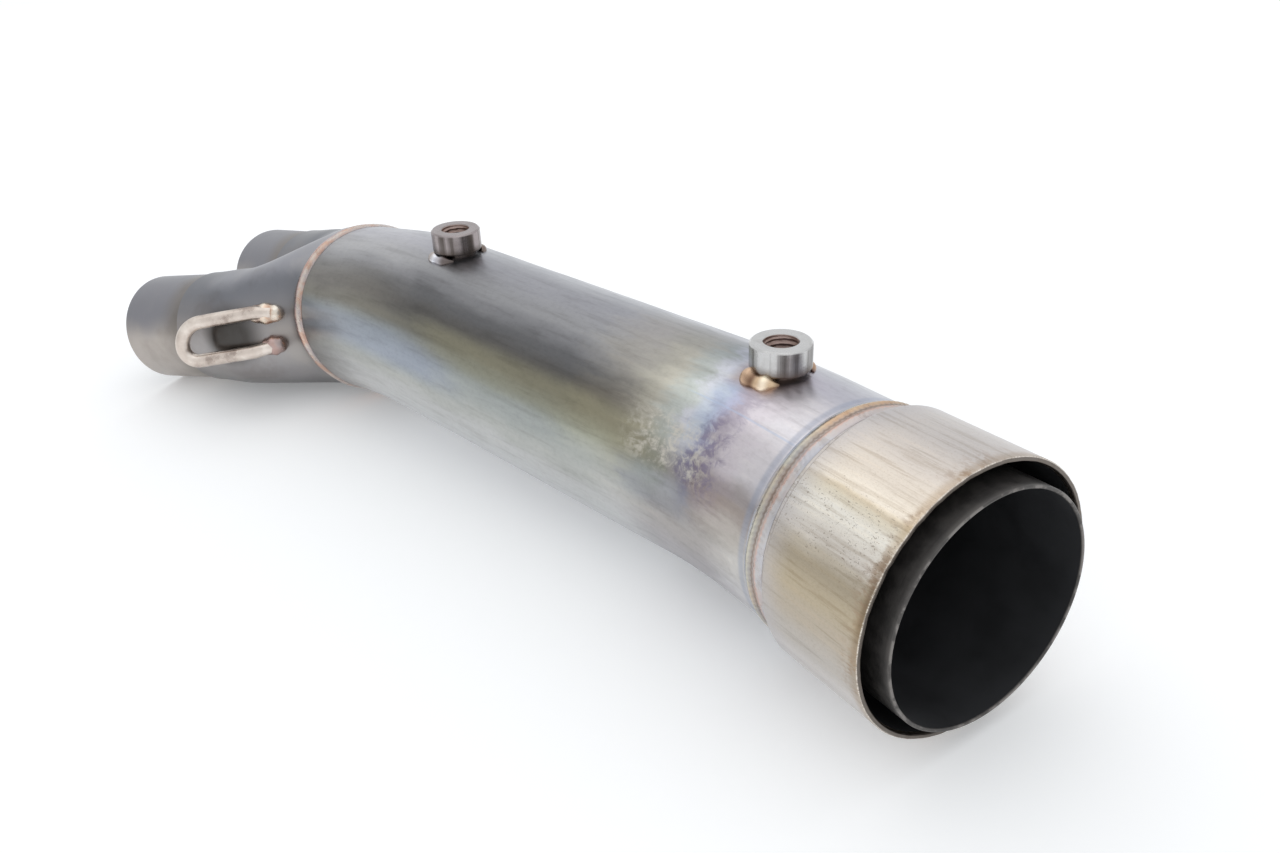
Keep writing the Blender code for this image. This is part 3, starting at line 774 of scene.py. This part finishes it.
def hook_finish():
    """Bent rod, pinkish tan with darker spots of heat."""
    f = Finish("tanned_rod")
    cloud = f.cloud(120.0, 5.0)
    f.colour = f.ramp(cloud, (0.34, 0.4, 0.33, 0.29), (0.5, 0.68, 0.595, 0.53),
                    (0.66, 0.84, 0.76, 0.69))
    return f.finish((cloud, 0.24, 0.38), 1.0, (f.cloud(900.0, 3.0), 0.12, 0.0001))


def main_tube(line, soot):
    """Bent tube, with the slight waves that drawing and bending leave."""
    first = SOCKET_LENGTH + WELD_EDGE
    last = line.length - WELD_EDGE
    rows = Rows(TUBE_SIDES)
    for run in np.linspace(first, last, 150):
        wave = waves(rows.angles, (0.00003, 2.0, 36.0 * run), (0.00002, 3.0, 1.3 - 95.0 * run),
                     (0.000015, 0.0, 230.0 * run + 0.4))
        hold = float(ease((run - first) / WAVE_FADE) * ease((last - run) / WAVE_FADE))
        rows.add(*line.at(run), run, TUBE_R + hold * wave)
    outer = len(rows.rings)
    for run in np.linspace(last, first, 40):
        rows.add(*line.at(run), run, TUBE_R - TUBE_WALL)
    rows.piece("main_tube", "main_tube", tube_finish(), soot, name="dressed_tube",
               inside=lambda row: row >= outer)


def socket(soot):
    """Expanded socket with a worn rim and its round shoulder."""
    neck_end = SOCKET_LENGTH - WELD_EDGE
    shoulder = neck_end - NECK_LENGTH - SOCKET_STRAIGHT
    drop = SOCKET_R - TUBE_R
    bore = SOCKET_R - SHELL_WALL
    outside = [(RIM_ROUND * (1.0 + math.cos(angle)), SOCKET_R - RIM_ROUND * (1.0 - math.sin(angle)))
               for angle in np.radians(np.linspace(180.0, 90.0, 6))]
    outside += [(run, SOCKET_R) for run in np.linspace(0.0015, SOCKET_STRAIGHT, 34)]
    outside += [(SOCKET_STRAIGHT + share * shoulder, SOCKET_R - drop * ease(share))
                for share in np.linspace(0.05, 1.0, 14)]
    outside.append((neck_end, TUBE_R))
    inside = [(neck_end, TUBE_R - SHELL_WALL)]
    inside += [(SOCKET_STRAIGHT + share * shoulder, bore - drop * ease(share))
               for share in np.linspace(1.0, 0.0, 8)]
    lip = [(0.001, bore), (0.0003, bore + 0.00006), (0.0, bore + 0.0003)]
    inside += [(0.01, bore)]
    rows = Rows(SOCKET_SIDES)
    for run, radius in outside + inside + lip:
        worn = RIM_WEAR * bell(run, 0.0, RIM_WEAR_REACH) * waves(
            rows.angles, (1.0, 11.0, 0.7), (1.0, 29.0, 0.0), (0.6, 53.0, 2.0))
        wave = waves(rows.angles, (SOCKET_WAVE, 3.0, 90.0 * run)) * float(ease(run / 0.003))
        level = run + np.abs(worn)
        rows.add(RIM + level[:, None] * OUTLET, OUTLET, level, radius - np.abs(wave))
    darkened = range(len(outside), len(outside + inside))
    rows.piece("outlet_socket", "outlet_socket", socket_finish(), soot, name="dressed_socket",
               inside=lambda row: row in darkened)


def sleeve(soot):
    """Thin sleeve with a rolled lip that stands out of the socket."""
    outer = TUBE_R - TUBE_WALL - GAP
    inner = outer - SLEEVE_WALL
    end = SOCKET_LENGTH + SLEEVE_REACH
    half = 0.5 * SLEEVE_WALL
    start = half - SLEEVE_PROUD
    profile = [(end, inner), (end, outer)]
    profile += [(run, outer) for run in np.linspace(SLEEVE_DENSE, start, 12)]
    profile += [(start + half * math.cos(angle), outer - half + half * math.sin(angle))
                for angle in np.radians(np.linspace(100.0, 260.0, 9))]
    first_inner = len(profile)
    profile += [(run, inner) for run in np.linspace(start, SLEEVE_DENSE, 12)]
    rows = Rows(TUBE_SIDES)
    rows.lathe(RIM, OUTLET, profile)
    rows.piece("inner_sleeve", "inner_sleeve", sleeve_finish(), soot, name="dressed_sleeve",
               inside=lambda row: row >= first_inner or row == 0)


def ring_weld(node, centre, direction, base_run, lap, crowns, finish):
    """Ring bead with the ripples of the torch, lapping a little over both ends.

    Crowns are (place, height, width) across the bead, with places from -1 to 1.
    """
    half = 0.5 * WELD_WIDTH
    cover = half + lap
    ripples = round(2.0 * math.pi * TUBE_R / RIPPLE_PITCH)
    rows = Rows(WELD_SIDES)
    for level in np.linspace(-cover, cover, 31):
        share = level / half
        arch = BEAD_ARCH * max(1.0 - share * share, 0.0)
        ripple = np.abs(np.sin(0.5 * ripples * rows.angles + 0.9 * math.pi * share * share))
        edge = float(ease((cover - abs(level)) / (0.45 * half)))
        lift = edge * (swells(share, crowns) + arch + RIPPLE_HEIGHT * (ripple - 0.6) + waves(
            rows.angles, (0.00006, 5.0, 1.1), (0.00004, 13.0, 0.0)))
        shift = level + edge * waves(rows.angles, (BEAD_DRIFT, 7.0, 0.5))
        rows.add(centre + shift[:, None] * direction, direction, base_run + level,
                 TUBE_R + BEAD_SEAT + np.maximum(lift, 0.0),
                 0.5 + 0.5 * level / cover + 0.05 * (ripple - 0.5))
    for level in (half, -half):
        rows.add(centre + level * direction, direction, base_run + level, TUBE_R - TUBE_WALL, 0.5)
    rows.piece("weld_beads", node, finish, sharp=60.0)


def lean_up(direction, lean):
    """Up vector of a tube, leaned about the tube's axis to the near side's opposite."""
    near, up = frame_of(direction)
    lean = math.radians(lean)
    return math.cos(lean) * up - math.sin(lean) * near


def boss(node, foot, run, lean, steel, thread):
    """Turned boss with chamfers and a real screw thread in its hole."""
    axis = lean_up(run, lean)
    base, top = TUBE_R + BOSS_BASE, TUBE_R + BOSS_TOP
    face_r = BOSS_R - BOSS_EDGE
    outside = [(TUBE_R - BOSS_SUNK, BOSS_PILOT_R), (base, BOSS_PILOT_R), (base, face_r),
               (base + 0.3 * BOSS_EDGE, BOSS_R - 0.3 * BOSS_EDGE),
               (base + BOSS_EDGE, BOSS_R), (base + BOSS_EDGE + EDGE_LOOP, BOSS_R),
               (top - BOSS_EDGE - EDGE_LOOP, BOSS_R), (top - BOSS_EDGE, BOSS_R),
               (top - EDGE_LOOP, face_r + EDGE_LOOP), (top, face_r),
               (top, face_r - 2.0 * EDGE_LOOP), (top, BOSS_MOUTH_R + 2.0 * EDGE_LOOP),
               (top, BOSS_MOUTH_R), (top - 2.0 * EDGE_LOOP, BOSS_MOUTH_R - 0.00018)]
    rows = Rows(BOSS_SIDES)
    rows.lathe(foot, axis, outside, TUBE_R)
    outer = len(rows.rings)
    helix = np.arange(BOSS_SIDES) / BOSS_SIDES
    for level in np.linspace(top - BOSS_EDGE, TUBE_R - 0.0014, 66):
        phase = np.abs(2.0 * ((level / THREAD_PITCH + helix) % 1.0) - 1.0)
        fade = float(ease((top - 0.0003 - level) / THREAD_FADE))
        radii = (BOSS_BORE_R + 0.00005 + 0.0003 * (1.0 - fade)
                 + THREAD_DEPTH * np.clip(1.25 * phase - 0.12, 0.0, 1.0) * fade)
        rows.add(foot + level * axis, axis, level - TUBE_R, radii)
    rows.piece("bosses", node, steel, thread, inside=lambda row: row >= outer - 1, sharp=30.0)


def bead_arc(node, foot, run, lean, side, radius, shift, finish):
    """Fillet bead along one side of a boss, turned by a shift and laid in two dabs."""
    axis = lean_up(run, lean)
    across = unit(side * np.cross(axis, run))
    along = np.cross(across, axis)
    rows = Rows(ARC_SIDES)
    for share in np.linspace(-1.0, 1.0, 73):
        angle = math.radians(ARC_SWEEP * share + shift)
        reach = BOSS_R * math.cos(angle)
        height = math.sqrt(TUBE_R * TUBE_R - reach * reach)
        centre = foot + height * axis + reach * across + BOSS_R * math.sin(angle) * along
        tangent = unit(math.cos(angle) * along - math.sin(angle) * across)
        swell = math.sqrt(max(1.0 - share * share, 0.0)) * swells(share, ARC_DABS)
        rows.add(centre, tangent, 0.01 * share, radius * (ARC_END + ARC_SWELL * swell),
                 0.5 + 0.5 * share)
    rows.piece("weld_beads", node, finish, loop=False, sharp=70.0)


def branch(far):
    """Start and direction of a branch's axis; far is +1 or -1."""
    spread = math.radians(PAIR_SPREAD)
    start = MERGE + far * 0.5 * PAIR_PITCH * FAR_SIDE
    return start, unit(math.cos(spread) * PAIR + far * math.sin(spread) * FAR_SIDE)


def half_stations(far, shrink, overrun, steps=36, taper=0.0):
    """Stations of one half of the collector: from the tube's circle to a branch.

    The taper is what the shell's end is dressed down by, to lie close on its stub.
    """
    start, direction = branch(far)
    begin = MERGE + WELD_EDGE * INNER + far * HALF_SPLIT * FAR_SIDE
    finish = start + MERGE_LENGTH * direction
    pull = MERGE_PULL * MERGE_LENGTH
    handles = (begin, begin + pull * INNER, finish - pull * direction, finish)
    stations = []
    if overrun:
        stations.append((begin - overrun * INNER, INNER, TUBE_R - shrink))
    for step in range(steps + 1):
        share = step / steps
        rest = 1.0 - share
        centre = sum(math.comb(3, power) * rest ** (3 - power) * share ** power * handle
                     for power, handle in enumerate(handles))
        facing = unit(rest * INNER + share * direction)
        radius = TUBE_R + (BRANCH_R - TUBE_R) * float(ease(share))
        stations.append((centre, facing, radius - shrink))
    for share in np.linspace(0.1, 1.0, 10):
        run = MERGE_LENGTH + share * (BRANCH_END - MERGE_LENGTH)
        stations.append((start + run * direction, direction,
                         BRANCH_R - taper * float(ease(share)) - shrink))
    if overrun:
        stations.append((start + (BRANCH_END + overrun) * direction, direction,
                         BRANCH_R - taper - shrink))
    return stations


def half_solid(name, far, shrink, overrun, taper):
    """Closed solid of one half of the collector."""
    rows = Rows(COLLECTOR_SIDES)
    for centre, facing, radius in half_stations(far, shrink, overrun, taper=taper):
        rows.add(centre, facing, 0.0, radius)
    return rows.mesh(name, loop=False)


def combine(target, tool, operation):
    """Apply a Boolean to the target and drop the tool."""
    modifier = target.modifiers.new(operation.lower(), "BOOLEAN")
    modifier.operation = operation
    modifier.solver = "EXACT"
    modifier.object = tool
    bpy.context.view_layer.update()
    result = bpy.data.meshes.new_from_object(
        target.evaluated_get(bpy.context.evaluated_depsgraph_get()))
    target.modifiers.clear()
    target.data = result
    bpy.data.objects.remove(tool, do_unlink=True)


def collector(finish, soot):
    """Merge shell: both halves run together, with the soot of its bore inside."""
    outer = half_solid("dressed_collector", -1, 0.0, 0.0, END_TAPER)
    combine(outer, half_solid("other", 1, 0.0, 0.0, END_TAPER), "UNION")
    bore = half_solid("bore", -1, SHELL_WALL, BORE_OVERRUN, 0.0)
    combine(bore, half_solid("other", 1, SHELL_WALL, BORE_OVERRUN, 0.0), "UNION")
    combine(outer, bore, "DIFFERENCE")
    mesh = outer.data
    mesh.materials.append(finish)
    mesh.materials.append(soot)
    outer_skin = BVHTree.FromPolygons(
        *skin_of([half_stations(side, 0.0, 0.0, taper=END_TAPER) for side in (-1, 1)]))
    depths = (outer_skin.find_nearest(polygon.center)[3] for polygon in mesh.polygons)
    mesh.polygons.foreach_set("material_index", [int(deep >= 0.25 * SHELL_WALL) for deep in depths])
    mesh.shade_smooth()
    mesh.set_sharp_from_angle(angle=math.radians(24.0))
    weigh = outer.modifiers.new("even", "WEIGHTED_NORMAL")
    weigh.keep_sharp = True
    weigh.weight = 80
    keep(outer, "collector_shell")


def skin_of(halves, sides=64):
    """Points and faces of open lofts through rows of stations."""
    points, faces = [], []
    angles = turns(sides)
    for stations in halves:
        index = len(points) + np.arange(len(stations) * sides).reshape(-1, sides)
        for station in stations:
            points += ring(*station, angles).tolist()
        for low, high in zip(index, index[1:]):
            faces += strip(low, high)
    return points, faces


def stub(node, far, grey, soot):
    """Slip stub with a lightly rounded, worn mouth."""
    start, direction = branch(far)
    outer = STUB_R - STUB_SKIN
    inner = STUB_R - STUB_WALL
    mouth = MOUTH_END - STUB_SKIN
    profile = [(BRANCH_END - STUB_OVERLAP, outer)]
    profile += [(run, outer) for run in np.linspace(BRANCH_END - 0.002, mouth - 0.0006, 16)]
    profile += [(mouth - MOUTH_ROUND * (1.0 - math.cos(angle)),
                 outer - MOUTH_ROUND * (1.0 - math.sin(angle)))
                for angle in np.radians(np.linspace(90.0, 0.0, 6))]
    profile += [(mouth, inner + MOUTH_BEVEL), (mouth - MOUTH_BEVEL, inner)]
    first_inner = len(profile) - 1
    profile += [(run, inner) for run in np.linspace(mouth - 0.004, BRANCH_END - STUB_OVERLAP, 8)]
    rows = Rows(STUB_SIDES)
    rows.lathe(start, direction, profile)
    rows.piece("inlet_stubs", node, grey, soot, inside=lambda row: row >= first_inner)


class HookPlace:
    """Where a hook's rod runs over the outer side of one branch."""

    def __init__(self, far):
        self.start, self.axis = branch(far)
        out = far * FAR_SIDE
        self.out = unit(out - (out @ self.axis) * self.axis)
        self.up = np.cross(self.axis, self.out)
        if self.up[2] < 0.0:
            self.up = -self.up
        self.stations = half_stations(far, 0.0, 0.0, 10)
        self.skin = BVHTree.FromPolygons(*skin_of([self.stations], 48))

    def middle(self, run):
        """Point on the half's centre line at a run along the branch's axis."""
        runs = [float((station[0] - self.start) @ self.axis) for station in self.stations]
        return at_run(run, runs, np.array([station[0] for station in self.stations]))

    def on_skin(self, run, angle, lift):
        """Point at a height over the shell, and the shell's normal there."""
        angle = math.radians(angle)
        ray = math.cos(angle) * self.out + math.sin(angle) * self.up
        outside = self.middle(run) + 3.0 * TUBE_R * ray
        hit, normal, _, _ = self.skin.ray_cast(Vector(outside), Vector(-ray))
        normal = np.array(normal)
        if normal @ ray < 0.0:
            normal = -normal
        return np.array(hit) + lift * normal, normal

    def path(self):
        """Rod's centre line: two welded legs and a raised closed end."""
        seat = ROD_R + GAP
        corners = ((HOOK_UPPER_FOOT, -LEG_SUNK), (HOOK_UPPER_BEND, 0.0),
                   (HOOK_UPPER_CORNER, HOOK_RISE), (HOOK_LOWER_CORNER, HOOK_RISE),
                   (HOOK_LOWER_BEND, 0.0), (HOOK_LOWER_FOOT, -LEG_SUNK))
        feet = [self.on_skin(*corner, seat + rise)[0] for corner, rise in corners]
        rounds = (HOOK_BEND_ROUND, HOOK_UPPER_ROUND, HOOK_LOWER_ROUND, HOOK_BEND_ROUND)
        points = [feet[0]]
        for before, corner, after, radius in zip(feet, feet[1:], feet[2:], rounds):
            rounded = bend(corner, unit(corner - before), unit(after - corner), radius, 14)
            points += [point for point, _ in rounded]
        return np.array(points + [feet[-1]])


def hook(node, points, finish):
    """Round rod along a path, its rings turned with the path so that it never twists."""
    ways = unit(np.gradient(points, axis=0))
    side = unit(np.cross(ways[0], (0.0, 0.0, 1.0)))
    rows = Rows(ROD_SIDES, 0.0)
    steps = np.linalg.norm(np.diff(points, axis=0), axis=1)
    runs = np.concatenate(([0.0], np.cumsum(steps)))
    for centre, way, run in zip(points, ways, runs):
        side = unit(side - (side @ way) * way)
        radius = ROD_R * (ROD_TIP if run in (runs[0], runs[-1]) else 1.0)
        rows.put(centre + spin(side, np.cross(way, side), radius, rows.angles), run, radius)
    rows.piece("hooks", node, finish, loop=False, sharp=50.0)


def dab(node, place, foot, size, finish):
    """Bead at the foot of a hook's leg: three dabs run together in one closed skin."""
    centre, normal = place.on_skin(*foot, DAB_LIFT)
    along = unit(place.axis - (place.axis @ normal) * normal)
    across = np.cross(normal, along)
    rows = Rows(DAB_SIDES, 0.0)
    for step, tilt in enumerate(np.linspace(0.0, math.pi, 41)):
        level = math.cos(tilt)
        lobes = 0.95 + 0.05 * math.cos(3.0 * math.pi * level)
        lobes = lobes + waves(rows.angles, (0.02, 2.0, 2.0 * level))
        wide = np.maximum(math.sin(tilt) * lobes, 0.002)
        points = centre + size[0] * level * along + spin(size[1] * across, size[2] * normal, wide,
                                                         rows.angles)
        rows.put(points, 0.001 * step, 0.001, 0.5 + 0.5 * level)
    rows.piece("weld_beads", node, finish, loop=False, sharp=80.0)


def build_pipe():
    """Make every dressed piece of the pipe."""
    line = Line()
    soot = soot_finish()
    main_tube(line, soot)
    socket(soot)
    sleeve(soot)
    loop_shade_middle = HookPlace(-1).on_skin(*HOOK_HEART, 0.0)[0]
    collector(collector_finish(loop_shade_middle), soot)
    grey = stub_finish()
    stub("near_inlet", -1, grey, soot)
    stub("far_inlet", 1, grey, soot)
    ring_welds(line)
    bosses()
    hooks()


def ring_welds(line):
    """Ring beads at the socket and at the collector."""
    front = bead_finish(
        "socket_bead", 0.25, (0.62, 0.42, 0.26),
        (0.0, 0.56, 0.55, 0.57), (0.24, 0.56, 0.54, 0.54), (0.34, 0.62, 0.47, 0.42),
        (0.42, 0.56, 0.49, 0.46), (0.52, 0.3, 0.25, 0.22), (0.6, 0.44, 0.41, 0.38),
        (0.72, 0.6, 0.57, 0.48), (0.86, 0.54, 0.53, 0.48), (1.0, 0.44, 0.46, 0.52))
    rear = bead_finish(
        "collector_bead", 0.75, None,
        (0.0, 0.32, 0.3, 0.31), (0.12, 0.52, 0.45, 0.43), (0.36, 0.68, 0.6, 0.54),
        (0.52, 0.56, 0.4, 0.38), (0.68, 0.66, 0.56, 0.45), (0.88, 0.44, 0.37, 0.33),
        (1.0, 0.3, 0.27, 0.26))
    ring_weld("socket_weld", RIM + SOCKET_LENGTH * OUTLET, OUTLET, SOCKET_LENGTH, 0.0005,
              ((0.52, 0.00052, 0.34), (-0.45, 0.00026, 0.24)), front)
    ring_weld("collector_weld", MERGE, INNER, line.length, 0.0011, ((0.0, 0.0007, 0.9),), rear)


def bosses():
    """Both bosses and the two beads of each."""
    # Gold bead: heat tint, with a painted highlight in its near-white stop on the first dab.
    gold = bead_finish(
        "gold_bead", 0.15, None,
        (0.0, 0.24, 0.17, 0.12), (0.14, 0.72, 0.56, 0.38), (0.26, 0.99, 0.88, 0.7),
        (0.38, 0.7, 0.53, 0.36), (0.5, 0.24, 0.15, 0.1), (0.66, 0.66, 0.47, 0.33),
        (0.84, 0.42, 0.28, 0.19), (1.0, 0.18, 0.12, 0.1))
    # Scorched bead: dark heat tint, with a painted highlight in its near-white stop at the middle.
    scorched = bead_finish(
        "scorched_bead", 0.2, None,
        (0.0, 0.12, 0.1, 0.09), (0.22, 0.18, 0.15, 0.14), (0.4, 0.6, 0.57, 0.58),
        (0.54, 0.9, 0.91, 0.95), (0.66, 0.5, 0.45, 0.42), (0.84, 0.2, 0.165, 0.15),
        (1.0, 0.12, 0.1, 0.09))
    thread = thread_finish()
    # Each boss: its steel, the dark colour of the painted reflection streaks on its side, and its
    # foot's heat tint with painted shade.
    turned = boss_finish("turned_boss", (0.6, 0.595, 0.59), (0.16, 0.15, 0.145),
                         (0.17, 0.135, 0.11))
    browned = boss_finish("browned_boss", (0.36, 0.32, 0.32), (0.09, 0.076, 0.068),
                          (0.075, 0.06, 0.05))
    front = (RIM + FRONT_BOSS_DISTANCE * OUTLET, unit(OUTLET + MIDDLE), FRONT_BOSS_LEAN)
    rear = (FRONT_CORNER + REAR_BOSS_DISTANCE * MIDDLE, MIDDLE, REAR_BOSS_LEAN)
    for name, place, steel, bead, near_r in (("front_boss", front, turned, gold, FRONT_BEAD_R),
                                             ("rear_boss", rear, browned, scorched, REAR_BEAD_R)):
        boss(name, *place, steel, thread)
        bead_arc(f"{name}_weld_near", *place, 1, near_r, NEAR_BEAD_SHIFT, bead)
        bead_arc(f"{name}_weld_far", *place, -1, FAR_BEAD_R, 0.0, bead)


def hooks():
    """Both spring hooks and the two beads of each."""
    cream = bead_finish(
        "cream_bead", 0.5, None,
        (0.0, 0.46, 0.39, 0.33), (0.18, 0.9, 0.85, 0.76), (0.34, 0.58, 0.45, 0.36),
        (0.5, 0.86, 0.78, 0.67), (0.66, 0.5, 0.38, 0.31), (0.82, 0.76, 0.66, 0.56),
        (1.0, 0.38, 0.29, 0.25))
    pink = bead_finish(
        "pink_bead", 0.4, None,
        (0.0, 0.28, 0.24, 0.23), (0.45, 0.5, 0.4, 0.39), (1.0, 0.36, 0.3, 0.29))
    rod = hook_finish()
    upper_foot = tuple(np.add(HOOK_UPPER_FOOT, UPPER_DAB_SHIFT))
    for name, far in (("near_hook", -1), ("far_hook", 1)):
        place = HookPlace(far)
        hook(name, place.path(), rod)
        dab(f"{name}_weld_upper", place, upper_foot, UPPER_DAB, cream)
        dab(f"{name}_weld_lower", place, HOOK_LOWER_FOOT, LOWER_DAB, pink)


def studio():
    """White table under a bright sky that dims low down on one side."""
    scene = bpy.context.scene
    scene.world = bpy.data.worlds.new("studio")
    sky = Tree(scene.world)
    sky.tree.nodes.clear()
    way = sky.node("ShaderNodeTexCoord").outputs["Generated"]
    side = sky.node("ShaderNodeVectorMath", {0: way, 1: tuple(heading(DIM_HEADING, DIM_CLIMB))},
                    operation="DOT_PRODUCT")
    dim = sky.span(side.outputs["Value"], DIM_OUTER, DIM_INNER, 0.0, DIM_SHARE)
    dome = sky.node("ShaderNodeBackground", {
        "Color": SKY_COLOUR, "Strength": sky.maths("SUBTRACT", SKY_LEVEL, dim)})
    sky.node("ShaderNodeOutputWorld", {0: dome.outputs[0]})

    table = bpy.data.meshes.new("table")
    shell = bmesh.new()
    bmesh.ops.create_grid(shell, x_segments=8, y_segments=8, size=FLOOR_SIZE)
    shell.to_mesh(table)
    shell.free()
    floor = bpy.data.objects.new("table", table)
    scene.collection.objects.link(floor)
    table.materials.append(bpy.data.materials.new("white_table"))
    cloth = Tree(table.materials[0])
    cloth.tree.nodes.clear()
    rays = cloth.node("ShaderNodeLightPath").outputs
    seen = cloth.maths("MAXIMUM", rays["Is Camera Ray"], rays["Is Glossy Ray"])
    seen = cloth.maths("MAXIMUM", seen, rays["Is Transmission Ray"])
    shine = cloth.node("ShaderNodeEmission", {
        "Color": GLOW_COLOUR, "Strength": cloth.maths("MULTIPLY", seen, FLOOR_GLOW)})
    matt = cloth.node("ShaderNodeBsdfDiffuse", {"Color": FLOOR_COLOUR})
    both = cloth.node("ShaderNodeAddShader", {0: shine.outputs[0], 1: matt.outputs[0]})
    cloth.node("ShaderNodeOutputMaterial", {0: both.outputs[0]})


def lamp():
    """Square soft lamp overhead that faces the object."""
    data = bpy.data.lights.new("overhead", "AREA")
    data.size = LAMP_SIZE
    data.energy = LAMP_POWER
    made = bpy.data.objects.new("overhead", data)
    made.location = LAMP_PLACE
    made.rotation_mode = "QUATERNION"
    made.rotation_quaternion = (-Vector(LAMP_PLACE)).to_track_quat("-Z", "Y")
    bpy.context.scene.collection.objects.link(made)


def camera():
    """Camera at the photograph's viewing angle."""
    yaw, pitch, roll = (math.radians(v) for v in (CAMERA_YAW, CAMERA_PITCH, CAMERA_ROLL))
    ahead = Vector((math.cos(pitch) * math.cos(yaw), math.cos(pitch) * math.sin(yaw),
                    -math.sin(pitch)))
    right = Vector((math.sin(yaw), -math.cos(yaw), 0.0))
    up = right.cross(ahead)
    right, up = (math.cos(roll) * right + math.sin(roll) * up,
                 math.cos(roll) * up - math.sin(roll) * right)
    data = bpy.data.cameras.new("camera")
    data.sensor_fit = "HORIZONTAL"
    data.sensor_width = SENSOR_WIDE
    data.lens = SENSOR_WIDE * CAMERA_FOCUS / PHOTO_WIDE
    data.clip_start = 0.01
    data.clip_end = 20.0
    made = bpy.data.objects.new("camera", data)
    made.matrix_world = (Matrix.Translation(CAMERA_PLACE)
                         @ Matrix((right, up, -ahead)).transposed().to_4x4())
    bpy.context.scene.collection.objects.link(made)
    bpy.context.scene.camera = made
    bpy.context.scene.view_settings.view_transform = "Standard"


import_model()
for old in list(bpy.data.objects):
    if old.name in ("Cube", "Light", "Camera"):
        bpy.data.objects.remove(old, do_unlink=True)
camera()
studio()
lamp()
build_pipe()
